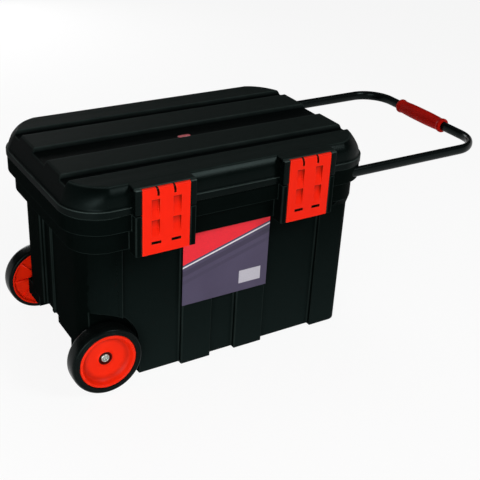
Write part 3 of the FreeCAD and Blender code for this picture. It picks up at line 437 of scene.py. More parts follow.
def softened(name, node_name, radius_at):
    """A merged copy of a solid with moulded radii on its edges, marked paler where the edges are rubbed,
    partly as a painted highlight.
    """
    shape = bmesh.new()
    shape.from_mesh(nodes[node_name].data)
    bmesh.ops.remove_doubles(shape, verts=shape.verts[:], dist=MERGE)
    bmesh.ops.join_triangles(
        shape, faces=shape.faces[:], angle_face_threshold=FLAT, angle_shape_threshold=math.pi)
    shape.normal_update()
    weight = shape.edges.layers.float.new("bevel_weight_edge")
    outlines = flat_patches(shape)
    widths = {}
    for edge in shape.edges:
        if edge.is_manifold and edge.calc_face_angle(0) > SHARP:
            widths[edge] = min(radius_at(edge), room_beside(edge, outlines) * ROOM_SHARE)
    widest = max(widths.values())
    for edge, width in widths.items():
        edge[weight] = width / widest
    piece = stand_in(name, shape)
    piece.data.materials.clear()
    piece.data.materials.append(None)
    piece.data.materials.append(None)
    bevel = piece.modifiers.new("moulded_radius", "BEVEL")
    bevel.limit_method = "WEIGHT"
    bevel.width = widest
    bevel.segments = EDGE_SEGMENTS
    bevel.use_clamp_overlap = False
    bevel.material = 1
    even = piece.modifiers.new("even_shading", "WEIGHTED_NORMAL")
    even.keep_sharp = True
    mesh = settled(piece).data
    wear_and_highlight = mesh.attributes.new("wear_and_highlight", "FLOAT", "FACE")
    wear_and_highlight.data.foreach_set("value", [float(face.material_index) for face in mesh.polygons])
    mesh.polygons.foreach_set("material_index", [0] * len(mesh.polygons))
    lengthwise = mesh.attributes.new("lengthwise", "FLOAT", "FACE")
    for face, mark in zip(mesh.polygons, lengthwise.data):
        if max(abs(mesh.vertices[i].co.y) for i in face.vertices) > OUTER_WALL_FROM:
            mark.value = abs(face.normal.y)
    return piece


def dress(piece, material, body=None, stands_for=()):
    """Give a piece its material and, for a new piece, its body, and hide the solids that it stands for."""
    piece.data.materials.clear()
    piece.data.materials.append(material)
    if body:
        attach(piece, body)
        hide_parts(*stands_for)


# Turned, rounded and bent shapes
def rounded_outline(corners, steps=5):
    """A closed outline of (radius, distance, rounding) corners, each corner drawn as a small arc."""
    points = []
    count = len(corners)
    for index, (*here, rounding) in enumerate(corners):
        here = Vector(here)
        ends = []
        for other in (corners[index - 1], corners[(index + 1) % count]):
            way = Vector(other[:2]) - here
            ends.append(here + way.normalized() * min(rounding, way.length * ROOM_SHARE))
        for step in range(steps + 1 if rounding else 1):
            t = step / steps
            points.append(ends[0] * (1 - t) ** 2 + here * 2 * t * (1 - t) + ends[1] * t * t)
    return points


def turn(shape, outline, place, axis, steps):
    """Turn a closed outline of (radius, distance) points round an axis."""
    axis = Vector(axis)
    aside = axis.orthogonal().normalized()
    across = axis.cross(aside)
    rows = []
    for step in range(steps):
        angle = math.tau * step / steps
        out = aside * math.cos(angle) + across * math.sin(angle)
        rows.append([shape.verts.new(Vector(place) + axis * h + out * r) for r, h in outline])
    for row, following in zip(rows, rows[1:] + rows[:1]):
        for i in range(len(outline)):
            shape.faces.new((row[i - 1], row[i], following[i], following[i - 1]))


def close_poles(shape):
    """Merge the points on the axis, drop what is left without area and turn all faces outwards."""
    bmesh.ops.remove_doubles(shape, verts=shape.verts[:], dist=MERGE)
    bmesh.ops.dissolve_degenerate(shape, edges=shape.edges[:], dist=MERGE)
    bmesh.ops.recalc_face_normals(shape, faces=shape.faces[:])


def rounded_block(shape, low, high, rounding):
    """A block with rounded edges between two corners."""
    low, high = Vector(low), Vector(high)
    size = Matrix.Diagonal((*(high - low), 1.0))
    made = bmesh.ops.create_cube(shape, size=1.0, matrix=Matrix.Translation((low + high) / 2) @ size)
    edges = list({edge for vert in made["verts"] for edge in vert.link_edges})
    bmesh.ops.bevel(
        shape, geom=edges, offset=rounding, segments=EDGE_SEGMENTS, profile=0.5, affect="EDGES",
        clamp_overlap=True)


def node_tree(name, sizes):
    """An empty geometry tree with named inputs, and its input node."""
    tree = bpy.data.node_groups.new(name, "GeometryNodeTree")
    tree.interface.new_socket("Geometry", in_out="INPUT", socket_type="NodeSocketGeometry")
    for title, kind in sizes.items():
        tree.interface.new_socket(title, in_out="INPUT", socket_type=f"NodeSocket{kind}")
    tree.interface.new_socket("Geometry", in_out="OUTPUT", socket_type="NodeSocketGeometry")
    return tree, add(tree, "NodeGroupInput").outputs


def grown(piece, tree, values):
    """Run a geometry tree on a piece with its input values and keep the result as a plain mesh."""
    modifier = piece.modifiers.new(tree.name, "NODES")
    modifier.node_group = tree
    for item in tree.interface.items_tree:
        if item.name in values:
            modifier[item.identifier] = values[item.name]
    return settled(piece)


# Tub
UPRIGHT_RADIUS, EDGE_RADIUS = 2.5 * MM, 1.3 * MM
UPRIGHT_SHARE, UPRIGHT_LEAST = 0.7, 60 * MM


def tub_radius(edge):
    """A larger radius on the long upright edges of ribs and corners than round the rim and inside."""
    first, second = (v.co for v in edge.verts)
    upright = abs(first.z - second.z) > UPRIGHT_SHARE * (first - second).length
    return UPRIGHT_RADIUS if upright and edge.calc_length() > UPRIGHT_LEAST else EDGE_RADIUS


dress(softened("tub_shell", "tub", tub_radius), tub_plastic, "root", ["tub"])


# Lid: a lip, leaning sides and a crown of four bands with a valley and two grooves between them
LID_HALF_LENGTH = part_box("lid")[1].x
LID_HALF_DEPTH = 187 * MM
LIP_LOW, LIP_TOP = 346.5 * MM, 359 * MM
LID_CORNER = 70 * MM
SHOULDER = 4 * MM
LID_WALL = 3.5 * MM
END_LEAN, SIDE_LEAN = 15 * MM, 12 * MM
GROOVE_WALL = 2.4 * MM
END_SOFTNESS, SIDE_SOFTNESS = 7 * MM, 3 * MM
SIDE_BULGE = 1.6
FOOT_CORNER = LID_CORNER - SHOULDER
ARC_X = LID_HALF_LENGTH - LID_CORNER
ARC_Y = LID_HALF_DEPTH - LID_CORNER
# Rows of points across the lid: within each groove wall, in shares of its width, and between them
WALL_PARTS = (-0.5, -0.38, -0.2, 0.0, 0.2, 0.38, 0.5)
BAND_ROWS = (10, 34, 60, 89, 106, 115)
CORNER_ANGLES = (0, 0.7, 1.4, 2.1, 2.8, 3.5, 4.2, 5.1, 6, 7, 8.5, 12, 18, 26, 35, 45, 55, 65, 74, 82, 90)
# The lip from its inner foot to its top: distance inside the foot of the crown and height in
# millimetres, and how rubbed it is, a paleness that is partly a painted highlight on its top edge
LIP_OUTLINE = (
    (3.5, 346.5, 0), (-3, 346.5, 0.2), (-3.7, 346.8, 0.4), (-4, 347.5, 0), (-4, 357.6, 0),
    (-3.7, 358.6, 1), (-2.8, 359, 0.6), (-0.3, 359, 0),
)
# Distances of the crown's rings inside its foot, in millimetres, closest where the side turns over
CROWN_STEPS = (
    0.1, 0.4, 0.9, 1.6, 2.5, 3.6, 4.9, 6.2, 7.3, 8.2, 9, 9.7, 10.4, 11.1, 11.8, 12.5, 13.2, 13.9, 14.6,
    15.3, 16, 16.8, 17.8, 19.2, 22,
)
# Edges of the bands and the crown are marked paler, as wear and partly a painted highlight, within this
# reach and by this much.
EDGE_REACH, EDGE_WEAR_AND_HIGHLIGHT = 2 * MM, 0.35
# Latch seats: blocks as (reach behind the lip, low end, high end), and a bar on each side of a latch
LATCH_GAP = 0.5 * MM
SEAT_BLOCKS = (
    (8 * MM, LIP_LOW, LID_TOP - 2 * MM),
    (36 * MM, LID_TOP - 11 * MM, LID_TOP - 0.2 * MM),
)
SEAT_ROUNDING = 2.5 * MM
BAR_FOOT, BAR_OVERLAP, BAR_ROUNDING = LIP_LOW + 0.5 * MM, 4 * MM, 2.2 * MM
# The top of each latch bar, this deep, is marked paler as a painted highlight.
BAR_TOP_HIGHLIGHT_REACH = 2 * MM
KNUCKLE_HALF, KNUCKLE_RADIUS, KNUCKLE_ROUNDING = 9.7 * MM, 5.98 * MM, 0.8 * MM
WEB_OVERLAP = 2 * MM


def risen(t):
    """A smooth step from 0 to 1."""
    t = min(max(t, 0.0), 1.0)
    return t * t * (3 - 2 * t)


def crown(y):
    """Height of the crown across the lid."""
    steps = [risen((abs(y) - edge) / GROOVE_WALL + 0.5) for edge in (VALLEY_HALF, GROOVE_NEAR, GROOVE_FAR)]
    return LID_TOP - GROOVE_DEPTH * (1 - steps[0] + steps[1] - steps[2])


def band_edge(y):
    """How near a place across the lid is to the upper edge of a band, from 0 to 1."""
    edges = (VALLEY_HALF + GROOVE_WALL / 2, GROOVE_NEAR - GROOVE_WALL / 2, GROOVE_FAR + GROOVE_WALL / 2)
    return max(0.0, 1 - min(abs(abs(y) - edge) for edge in edges) / EDGE_REACH)


def lid_places():
    """Places round the right end as (middle of the arc across the lid, angle), from front to back."""
    rows = [edge + GROOVE_WALL * part for edge in (VALLEY_HALF, GROOVE_NEAR) for part in WALL_PARTS]
    rows += [row * MM for row in BAND_ROWS]
    rows = sorted([-row for row in rows] + rows)
    front = [(-ARC_Y, -math.radians(angle)) for angle in reversed(CORNER_ANGLES)]
    back = [(ARC_Y, math.radians(angle)) for angle in CORNER_ANGLES]
    return front + [(row, 0.0) for row in rows] + back


LID_PLACES = lid_places()


def lid_ring(shape, wear_and_highlight_layer, inward, height_at):
    """A closed ring of points at a distance inside the foot of the crown."""
    scuffed = shape.verts.layers.float["scuffed"]
    reach = FOOT_CORNER - inward
    ring = []
    for way, places in ((1, LID_PLACES), (-1, reversed(LID_PLACES))):
        for middle, angle in places:
            y = middle + reach * math.sin(angle)
            z, wear_and_highlight = height_at(y, angle)
            ring.append(shape.verts.new((way * (ARC_X + reach * math.cos(angle)), y, z)))
            ring[-1][wear_and_highlight_layer] = wear_and_highlight
            ring[-1][scuffed] = math.cos(angle) ** 2
    return ring


def crown_ring(shape, wear_and_highlight_layer, inward, wall):
    """A ring where the leaning side turns over into the crown, on the outside or a wall below it."""
    def height_at(y, angle):
        sideways = abs(math.sin(angle))
        lean = END_LEAN * math.cos(angle) + SIDE_LEAN * sideways
        top = crown(y) - wall
        side = LIP_TOP + (LID_TOP - LIP_TOP) * (inward / lean) ** (1 / (1 + SIDE_BULGE * sideways))
        soft = END_SOFTNESS + (SIDE_SOFTNESS - END_SOFTNESS) * sideways
        near = max(0.0, 1 - abs(top - side) / soft)
        # Crown and band edges are marked paler: wear, and partly a painted highlight.
        wear_and_highlight = max(near ** 4, band_edge(y) * risen((side - top) / soft + 1)) * EDGE_WEAR_AND_HIGHLIGHT
        return min(top, side) - near * near * soft / 4, 0.0 if wall else wear_and_highlight
    return lid_ring(shape, wear_and_highlight_layer, inward + wall, height_at)


def lid_skin(shape, rings):
    """Faces between following rings, and long strips over the last one."""
    for low, high in zip(rings, rings[1:]):
        for i in range(len(low)):
            shape.faces.new((low[i - 1], low[i], high[i], high[i - 1]))
    last = rings[-1]
    for i in range(len(last) // 2 - 1):
        shape.faces.new((last[i], last[i + 1], last[-2 - i], last[-1 - i]))


def make_lid():
    """The lid with its lip, crown, inner skin, latch seats and hinge knuckles."""
    shape = bmesh.new()
    shape.verts.layers.float.new("scuffed")
    wear_and_highlight_layer = shape.verts.layers.float.new("wear_and_highlight")
    lip = []
    for inward, height, wear_and_highlight in LIP_OUTLINE:
        lip.append(lid_ring(shape, wear_and_highlight_layer, inward * MM, lambda y, angle: (height * MM, wear_and_highlight)))
    outside = [crown_ring(shape, wear_and_highlight_layer, step * MM, 0.0) for step in CROWN_STEPS]
    inside = [crown_ring(shape, wear_and_highlight_layer, step * MM, LID_WALL) for step in CROWN_STEPS]
    lid_skin(shape, lip + outside)
    lid_skin(shape, lip[:1] + inside)

    latch_low, latch_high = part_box("latch_left")
    pin_low, pin_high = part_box("latch_pin_left")
    bar_width = latch_low.x - pin_low.x - LATCH_GAP
    seat = latch_high.y + LATCH_GAP
    for name, side in SIDES.items():
        left, right = sorted((side * pin_low.x, side * pin_high.x))
        for reach, low, high in SEAT_BLOCKS:
            back = reach - LID_HALF_DEPTH
            rounded_block(shape, (left, seat, low), (right, back, high), SEAT_ROUNDING)
        for start, end in ((left, left + bar_width), (right - bar_width, right)):
            far_corner = (end, seat + BAR_OVERLAP, latch_high.z)
            rounded_block(shape, (start, latch_low.y, BAR_FOOT), far_corner, BAR_ROUNDING)
        hinge_low, hinge_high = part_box(f"hinge_pin_{name}")
        middle = (hinge_low + hinge_high) / 2
        web = Vector((KNUCKLE_HALF, 0, 0))
        low = Vector((middle.x, LID_HALF_DEPTH - WEB_OVERLAP, LIP_LOW)) - web
        high = Vector((middle.x, middle.y, LIP_TOP - LID_WALL)) + web
        rounded_block(shape, low, high, KNUCKLE_ROUNDING)
        barrel = ((0, -KNUCKLE_HALF, 0), (KNUCKLE_RADIUS, -KNUCKLE_HALF, KNUCKLE_ROUNDING),
                  (KNUCKLE_RADIUS, KNUCKLE_HALF, KNUCKLE_ROUNDING), (0, KNUCKLE_HALF, 0))
        turn(shape, rounded_outline(barrel, steps=3), middle, (1, 0, 0), steps=32)
    close_poles(shape)
    # Painted highlight: the tops of the latch bars are marked paler.
    for vert in shape.verts:
        if vert.co.y < seat and vert.co.z > latch_high.z - BAR_TOP_HIGHLIGHT_REACH:
            vert[wear_and_highlight_layer] = 1.0
    piece = stand_in("lid_shell", shape)
    piece.modifiers.new("even_shading", "WEIGHTED_NORMAL").keep_sharp = True
    return settled(piece)


dress(make_lid(), lid_plastic, "lid_cover", ["lid"])


# Latches: a plate with a round upper edge, four finger windows, two slots and two bent slits
LATCH_MIDDLE = 142 * MM
PLATE_BACK, PLATE_FACE = -192.0, -198.9
PLATE_EDGE = 0.6 * MM
PIN_HEIGHT = 389
SLOT_ROW, SLOT_SLOPE = 290, 5
SLIT_FOOT, SLIT_TURN, SLIT_RISE, SLIT_LEAN = 377, 383, 9.5, 2.5
WINDOW_ROWS = (303, 337)
# Lines across and up the plate in millimetres. Slots start nearer to the middle than windows, both end
# at one line, and the lines of the slits run through them.
SLOT_NEAR, WINDOW_NEAR, OPENING_FAR, PLATE_HALF = 9.5, 12, 27.5, 43.5
SLIT_LINES = (13.2, 17.4)
RIGHT_COLUMNS = (SLOT_NEAR, WINDOW_NEAR, *SLIT_LINES, OPENING_FAR, PLATE_HALF)
PLATE_COLUMNS = (*(-column for column in reversed(RIGHT_COLUMNS)), *RIGHT_COLUMNS)
WINDOW_COLUMNS = (-OPENING_FAR, -SLIT_LINES[1], -SLIT_LINES[0], WINDOW_NEAR, *SLIT_LINES)
SLOT_COLUMNS = (*WINDOW_COLUMNS, -WINDOW_NEAR, SLOT_NEAR)
PLATE_ROWS = (
    272, SLOT_ROW, 295, WINDOW_ROWS[0], 334, WINDOW_ROWS[1], 371, SLIT_FOOT, SLIT_TURN, PIN_HEIGHT,
    390.4, 391.5, 392.2, 392.5,
)
# Rings of a window from its mouth inwards: depth, and how far the sides, the foot and the head come
# in, in millimetres, and the painted shade on the upper half
WINDOW_RINGS = ((1.2, 0.2, 3, 0.1, 0.7), (5.0, 0.6, 14, 0.3, 1.0), (5.1, 3.2, 16, 5, 0.35))


def plate_depths(height):
    """Face and back of the latch plate at a height, in millimetres: flat, then round over the pin."""
    middle, half = (PLATE_FACE + PLATE_BACK) / 2, (PLATE_BACK - PLATE_FACE) / 2
    above = max(0.0, height - PIN_HEIGHT)
    reach = math.sqrt(max(0.0, half * half - above * above))
    return middle - reach, middle + reach


def slit_bend(column, height):
    """How far a slit leans to the left on its way to the upper edge."""
    if abs(column) not in SLIT_LINES:
        return 0.0
    return -SLIT_LEAN * max(0.0, height - SLIT_TURN) / SLIT_RISE


def cell_kind(left, low):
    """What a cell of the plate is, from its left and lower lines."""
    if left in WINDOW_COLUMNS and low in WINDOW_ROWS:
        return "window"
    in_slot = left in SLOT_COLUMNS and low == SLOT_ROW
    in_slit = left in (-SLIT_LINES[1], SLIT_LINES[0]) and low >= SLIT_FOOT
    return "hole" if in_slot or in_slit else "plate"


def make_latch(name, middle):
    """One latch plate, laid out as a grid of cells that are plate, window or hole."""
    shape = bmesh.new()
    wear_and_highlight = shape.faces.layers.float.new("wear_and_highlight")
    hole_wall_shade = shape.faces.layers.float.new("hole_wall_shade")
    shape.verts.layers.float.new("painted_shade")
    columns, rows = len(PLATE_COLUMNS), len(PLATE_ROWS)
    grid = {}
    for i, column in enumerate(PLATE_COLUMNS):
        for j, height in enumerate(PLATE_ROWS):
            x = middle + (column + slit_bend(column, height)) * MM
            drop = SLOT_SLOPE if height == SLOT_ROW and abs(column) <= OPENING_FAR else 0
            face, back = plate_depths(height)
            grid[0, i, j] = shape.verts.new((x, face * MM, height * MM))
            grid[1, i, j] = shape.verts.new((x, back * MM, (height - drop) * MM))
    kinds = {}
    for i in range(columns - 1):
        for j in range(rows - 1):
            kinds[i, j] = cell_kind(PLATE_COLUMNS[i], PLATE_ROWS[j])
    for (i, j), kind in kinds.items():
        ring = ((i, j), (i + 1, j), (i + 1, j + 1), (i, j + 1))
        beside = ((i, j - 1), (i + 1, j), (i, j + 1), (i - 1, j))
        if kind != "hole":
            shape.faces.new([grid[1, a, b] for a, b in ring])
        if kind == "plate":
            shape.faces.new([grid[0, a, b] for a, b in ring])
        for k, other in enumerate(beside):
            if kind != "hole" and kinds.get(other, "hole") == "hole":
                near, far = ring[k], ring[(k + 1) % 4]
                wall = shape.faces.new((grid[0, *near], grid[0, *far], grid[1, *far], grid[1, *near]))
                # Walls of slots and slits are marked for painted shade.
                wall[hole_wall_shade] = float(other in kinds)
    for first in (0, 1):
        for low in WINDOW_ROWS:
            sink_window(shape, grid, kinds, first, PLATE_ROWS.index(low))
    close_poles(shape)
    edges = [edge for edge in shape.edges if edge.is_manifold and edge.calc_face_angle(0) > SHARP]
    made = bmesh.ops.bevel(
        shape, geom=edges, offset=PLATE_EDGE, segments=2, profile=0.5, affect="EDGES", clamp_overlap=True)
    # The rounded edges are marked paler: wear, and partly a painted highlight.
    for face in made["faces"]:
        face[wear_and_highlight] = 1.0
    piece = stand_in(name, shape)
    piece.modifiers.new("even_shading", "WEIGHTED_NORMAL").keep_sharp = True
    return settled(piece)


def sink_window(shape, grid, kinds, first, row):
    """The floor and the walls of one finger window, its lower wall sloping and its upper half darkened with
    painted shade.
    """
    painted_shade = shape.verts.layers.float["painted_shade"]
    columns = [i for (i, j), kind in kinds.items() if j == row and kind == "window"]
    columns = columns[:len(columns) // 2] if first == 0 else columns[len(columns) // 2:]
    lines = columns + [columns[-1] + 1]
    mouth = [grid[0, i, row] for i in lines] + [grid[0, i, row + 1] for i in reversed(lines)]
    count = len(lines)
    rings = [mouth]
    for depth, aside, rise, drop, shade_share in WINDOW_RINGS:
        ring = []
        for k, vert in enumerate(mouth):
            x, y, z = vert.co
            inset = {0: aside, count - 1: -aside}.get(k if k < count else 2 * count - 1 - k, 0.0)
            up = rise if k < count else -drop
            ring.append(shape.verts.new((x + inset * MM, y + depth * MM, z + up * MM)))
            ring[-1][painted_shade] = shade_share * (0.0 if k < count else 1.0)
        rings.append(ring)
    shape.faces.new(rings[-1])
    for outer, inner in zip(rings, rings[1:]):
        for k in range(len(mouth)):
            shape.faces.new((outer[k - 1], outer[k], inner[k], inner[k - 1]))


for side, way in SIDES.items():
    plate = make_latch(f"latch_plate_{side}", way * LATCH_MIDDLE)
    dress(plate, latch_plastic, f"{side}_latch", [f"latch_{side}"])


# Wheels: outlines as (radius, distance from the inner face, rounding) in millimetres
HUB_OUTLINE = (
    (5.2, 0.3, 0), (13, 0.3, 1), (14, 9, 1.5), (52, 6, 2), (55, 0.5, 1), (58, 0.4, 0.8), (58, 3, 1),
    (53, 8, 1.5), (53, 29.6, 1.5), (51.4, 32, 1.6), (47.6, 32, 1.6), (44, 24, 3),
    (37, 18.6, 6), (20, 16.4, 8), (15, 16.8, 2), (13.6, 18.2, 1), (11.6, 18.2, 1), (10.8, 14.2, 0.6),
    (5.2, 14.2, 0),
)
TYRE_OUTLINE = (
    (58.1, 0.2, 0.3), (65.2, 0, 5), (66, 16, 8), (65.6, 26, 4), (63.6, 30.6, 3), (60.2, 32, 1.5),
    (59.6, 31, 0.4), (57.6, 31, 0.4), (57.2, 31.8, 0.5), (53.2, 31.5, 0.6), (53.2, 8.2, 0.5),
    (58.1, 3.2, 0.5),
)
CAP_OUTLINE = (
    (0, 14.4, 0), (8.4, 14.4, 0.4), (8.2, 17.2, 1.2), (6.8, 18.8, 0.9), (5, 18.6, 0.6), (4.2, 15.4, 0.5),
    (0, 15.2, 0),
)
# Painted shade on the hub: full inside the recess round the axle cap, and a ring in the dish at this
# radius, fading out over this width, this deep.
RECESS_RADIUS = 12.8 * MM
DISH_EDGE, DISH_SHADE, DISH_SHADE_DEPTH = 40 * MM, 7 * MM, 0.35
RIB_OUTLINE = ((12, 2.2), (53.6, 2.2), (53.6, 8), (12, 11))
RIB_HALF = 1.5 * MM
RIB_COUNT = 8
RIB_ROUNDING, RIB_OPEN, RIB_LEAST = 0.6 * MM, 4 * MM, 10 * MM


def wheel_place(face):
    """The middle of a wheel's inner face, and the way out from it."""
    low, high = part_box(f"tyre_{face}")
    way = FACES[face]
    inner = low.y if way > 0 else high.y
    return Vector(((low.x + high.x) / 2, inner, (low.z + high.z) / 2)), Vector((0, way, 0))


def turned_piece(name, corners, place, axis, steps):
    """A piece turned from an outline in millimetres."""
    shape = bmesh.new()
    outline = rounded_outline([[part * MM for part in corner] for corner in corners])
    turn(shape, outline, place, axis, steps)
    close_poles(shape)
    return stand_in(name, shape)


def make_rib_tree():
    """Copies of one rib, evenly spaced round the axle."""
    tree, given = node_tree("ribs_round_axle", {"Count": "Int", "Place": "Vector", "Material": "Material"})
    spots = add(tree, "GeometryNodePoints", {"Count": given["Count"]})
    order = add(tree, "GeometryNodeInputIndex")
    share = add(tree, "ShaderNodeMath", {0: order.outputs[0], 1: given["Count"]}, operation="DIVIDE")
    angle = add(tree, "ShaderNodeMath", {0: share.outputs[0], 1: math.tau}, operation="MULTIPLY")
    about = add(tree, "ShaderNodeCombineXYZ", {"Y": angle.outputs[0]})
    copies = add(tree, "GeometryNodeInstanceOnPoints", {
        "Points": spots.outputs[0], "Instance": given["Geometry"], "Rotation": about.outputs[0],
    })
    placed = add(tree, "GeometryNodeTransform", {
        "Geometry": copies.outputs[0], "Translation": given["Place"],
    })
    real = add(tree, "GeometryNodeRealizeInstances", {0: placed.outputs[0]})
    coated = add(tree, "GeometryNodeSetMaterial", {
        "Geometry": real.outputs[0], "Material": given["Material"],
    })
    add(tree, "NodeGroupOutput", {0: coated.outputs[0]})
    return tree


def make_rib(name, way):
    """One rib behind the hub dish, standing along X from the axle, with softened long edges."""
    shape = bmesh.new()
    sides = []
    for aside in (-RIB_HALF, RIB_HALF):
        sides.append([shape.verts.new((r * MM, way * h * MM, aside)) for r, h in RIB_OUTLINE])
    shape.faces.new(sides[0])
    shape.faces.new(sides[1])
    count = len(RIB_OUTLINE)
    for i in range(count):
        shape.faces.new((sides[0][i - 1], sides[0][i], sides[1][i], sides[1][i - 1]))
    bmesh.ops.recalc_face_normals(shape, faces=shape.faces[:])
    exposed = []
    for edge in shape.edges:
        if max(abs(vert.co.y) for vert in edge.verts) < RIB_OPEN and edge.calc_length() > RIB_LEAST:
            exposed.append(edge)
    bmesh.ops.bevel(shape, geom=exposed, offset=RIB_ROUNDING, segments=2, profile=0.5, affect="EDGES")
    return stand_in(name, shape)


rib_tree = make_rib_tree()
for face in FACES:
    place, axis = wheel_place(face)
    wheel = f"{face}_wheel"
    hub = turned_piece(f"hub_{face}", HUB_OUTLINE, place, axis, steps=120)
    # Painted shade in the recess round the cap and in a ring of the dish.
    painted_shade = hub.data.attributes.new("painted_shade", "FLOAT", "POINT")
    for vert, mark in zip(hub.data.vertices, painted_shade.data):
        radius = (vert.co - place).cross(axis).length
        shade = DISH_SHADE_DEPTH * max(0.0, 1 - abs(radius - DISH_EDGE) / DISH_SHADE)
        mark.value = 1.0 if radius < RECESS_RADIUS else shade
    dress(hub, hub_plastic, wheel, [f"wheel_hub_{face}"])
    ribs = make_rib(f"hub_ribs_{face}", FACES[face])
    grown(ribs, rib_tree, {"Count": RIB_COUNT, "Place": place, "Material": hub_plastic})
    dress(ribs, hub_plastic, wheel)
    tyre = turned_piece(f"tyre_ring_{face}", TYRE_OUTLINE, place, axis, steps=128)
    dress(tyre, rubber, wheel, [f"tyre_{face}"])
    cap = turned_piece(f"push_cap_{face}", CAP_OUTLINE, place, axis, steps=48)
    dress(cap, zinc, "root", [f"axle_cap_{face}"])


# Pull handle
TUBE_WIDTH = 13 * MM
BEND_RADIUS = 60 * MM
BEND_STEPS, SECTION_STEPS = 24, 40
# The grip as (radius, distance from its middle, rounding) in millimetres
GRIP_OUTLINE = (
    (8.5, -69.6, 0.6), (13.6, -70, 2), (15, -68, 1.2), (15, -63.5, 1.4), (13.5, -59.5, 3),
    (14.8, -28, 20), (14.8, 28, 20), (13.5, 59.5, 3), (15, 63.5, 1.4), (15, 68, 1.2), (13.6, 70, 2),
    (8.5, 69.6, 0.6), (8.5, 66, 0.4), (6, 66, 0), (6, -66, 0), (8.5, -66, 0.4),
)


def make_tube_tree():
    """An oval tube along a path, with round bends at its corners."""
    sizes = {"Bend Radius": "Float", "Tube Height": "Float", "Tube Width": "Float", "Material": "Material"}
    tree, given = node_tree("bent_oval_tube", sizes)
    path = add(tree, "GeometryNodeMeshToCurve", {"Mesh": given["Geometry"]})
    bent = add(tree, "GeometryNodeFilletCurve", {
        "Curve": path.outputs[0], "Radius": given["Bend Radius"], "Count": BEND_STEPS,
    }, mode="POLY")
    level = add(tree, "GeometryNodeSetCurveNormal", {"Curve": bent.outputs[0]}, mode="Z_UP")
    ring = add(tree, "GeometryNodeCurvePrimitiveCircle", {"Resolution": SECTION_STEPS, "Radius": 0.5})
    section = add(tree, "ShaderNodeCombineXYZ", {
        "X": given["Tube Width"], "Y": given["Tube Height"], "Z": 1.0,
    })
    oval = add(tree, "GeometryNodeTransform", {"Geometry": ring.outputs[0], "Scale": section.outputs[0]})
    skin = add(tree, "GeometryNodeCurveToMesh", {
        "Curve": level.outputs[0], "Profile Curve": oval.outputs[0], "Fill Caps": True,
    })
    real = add(tree, "GeometryNodeRealizeInstances", {0: skin.outputs[0]})
    coated = add(tree, "GeometryNodeSetMaterial", {
        "Geometry": real.outputs[0], "Material": given["Material"],
    })
    add(tree, "NodeGroupOutput", {0: coated.outputs[0]})
    return tree


def make_tube():
    """The bent tube, along the middle of its two arms and crossbar."""
    low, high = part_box("handle_tube")
    arm, bar = high.y - TUBE_WIDTH / 2, high.x - TUBE_WIDTH / 2
    level = (low.z + high.z) / 2
    shape = bmesh.new()
    route = ((low.x, -arm), (bar, -arm), (bar, arm), (low.x, arm))
    corners = [shape.verts.new((x, y, level)) for x, y in route]
    for start, end in zip(corners, corners[1:]):
        shape.edges.new((start, end))
    sizes = {"Bend Radius": BEND_RADIUS, "Tube Height": high.z - low.z, "Tube Width": TUBE_WIDTH}
    tube = grown(stand_in("bent_tube", shape), make_tube_tree(), {**sizes, "Material": tube_coat})
    tube.data.shade_smooth()
    return tube


grip_low, grip_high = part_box("handle_grip")
grip = turned_piece("grip_sleeve", GRIP_OUTLINE, (grip_low + grip_high) / 2, (0, 1, 0), steps=64)
dress(make_tube(), tube_coat, "pull_handle", ["handle_tube"])
dress(grip, vinyl, "pull_handle", ["handle_grip"])


# Badge in the valley of the lid: a rounded bar with a slightly domed face
BADGE_MARGIN = Vector((0.5 * MM, 2.5 * MM))
BADGE_STEPS = 48
# From foot to crown, in shares of the badge's half width and of its height
BADGE_PROFILE = ((1.0, 0.0), (1.0, 0.55), (0.94, 0.78), (0.82, 0.9), (0.55, 0.98), (0.1, 1.0))


def make_badge():
    """The badge, at the back of the solid that it stands for."""
    low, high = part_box("lid_badge")
    long, wide = (high - low).to_2d() / 2 - BADGE_MARGIN
    middle = Vector(((low.x + high.x) / 2, high.y - wide))
    shape = bmesh.new()
    rings = []
    for share, height in BADGE_PROFILE:
        ring = []
        z = low.z + height * (high.z - low.z)
        for step in range(BADGE_STEPS):
            angle = math.tau * step / BADGE_STEPS
            x = (long - wide) * (1 if math.cos(angle) > 0 else -1) + wide * share * math.cos(angle)
            y = wide * share * math.sin(angle)
            ring.append(shape.verts.new((middle.x + x, middle.y + y, z)))
        rings.append(ring)
    for lower, upper in zip(rings, rings[1:]):
        for k in range(BADGE_STEPS):
            shape.faces.new((lower[k - 1], lower[k], upper[k], upper[k - 1]))
    shape.faces.new(rings[0])
    shape.faces.new(rings[-1])
    bmesh.ops.recalc_face_normals(shape, faces=shape.faces[:])
    return stand_in("valley_badge", shape)


dress(make_badge(), enamel, "lid_cover", ["lid_badge"])


# Solids that keep their shape
dress(nodes["front_label"], label_film)
for face in FACES:
    dress(nodes[f"axle_spacer_{face}"], inner_plastic)
    dress(nodes[f"arm_shoe_{face}"], inner_plastic)
    for where in ("inner", "outer"):
        dress(nodes[f"arm_guide_{where}_{face}"], inner_plastic)
for side in SIDES:
    dress(nodes[f"hinge_pin_{side}"], pin_steel)
    dress(nodes[f"latch_pin_{side}"], pin_steel)
for name in ("axle", "guide_screws"):
    dress(nodes[name], zinc)


# Stage, lamps and camera
ROOM_HALF, WALL_TOP = 8.0, 1.6
PAPER_WHITE, ROOM_LIGHT = 0.9, 0.05
LAMP_TARGET = (0, 0, 0.2)
IMAGE_SIDE = 480
SENSOR = 36.0
FOCAL_PIXELS = 933.0
CAMERA_PLACE = (-0.7756, -1.4130, 1.0187)
CAMERA_AZIMUTH, CAMERA_ELEVATION, CAMERA_ROLL = (math.radians(a) for a in (-32.65, 27.77, 3.13))


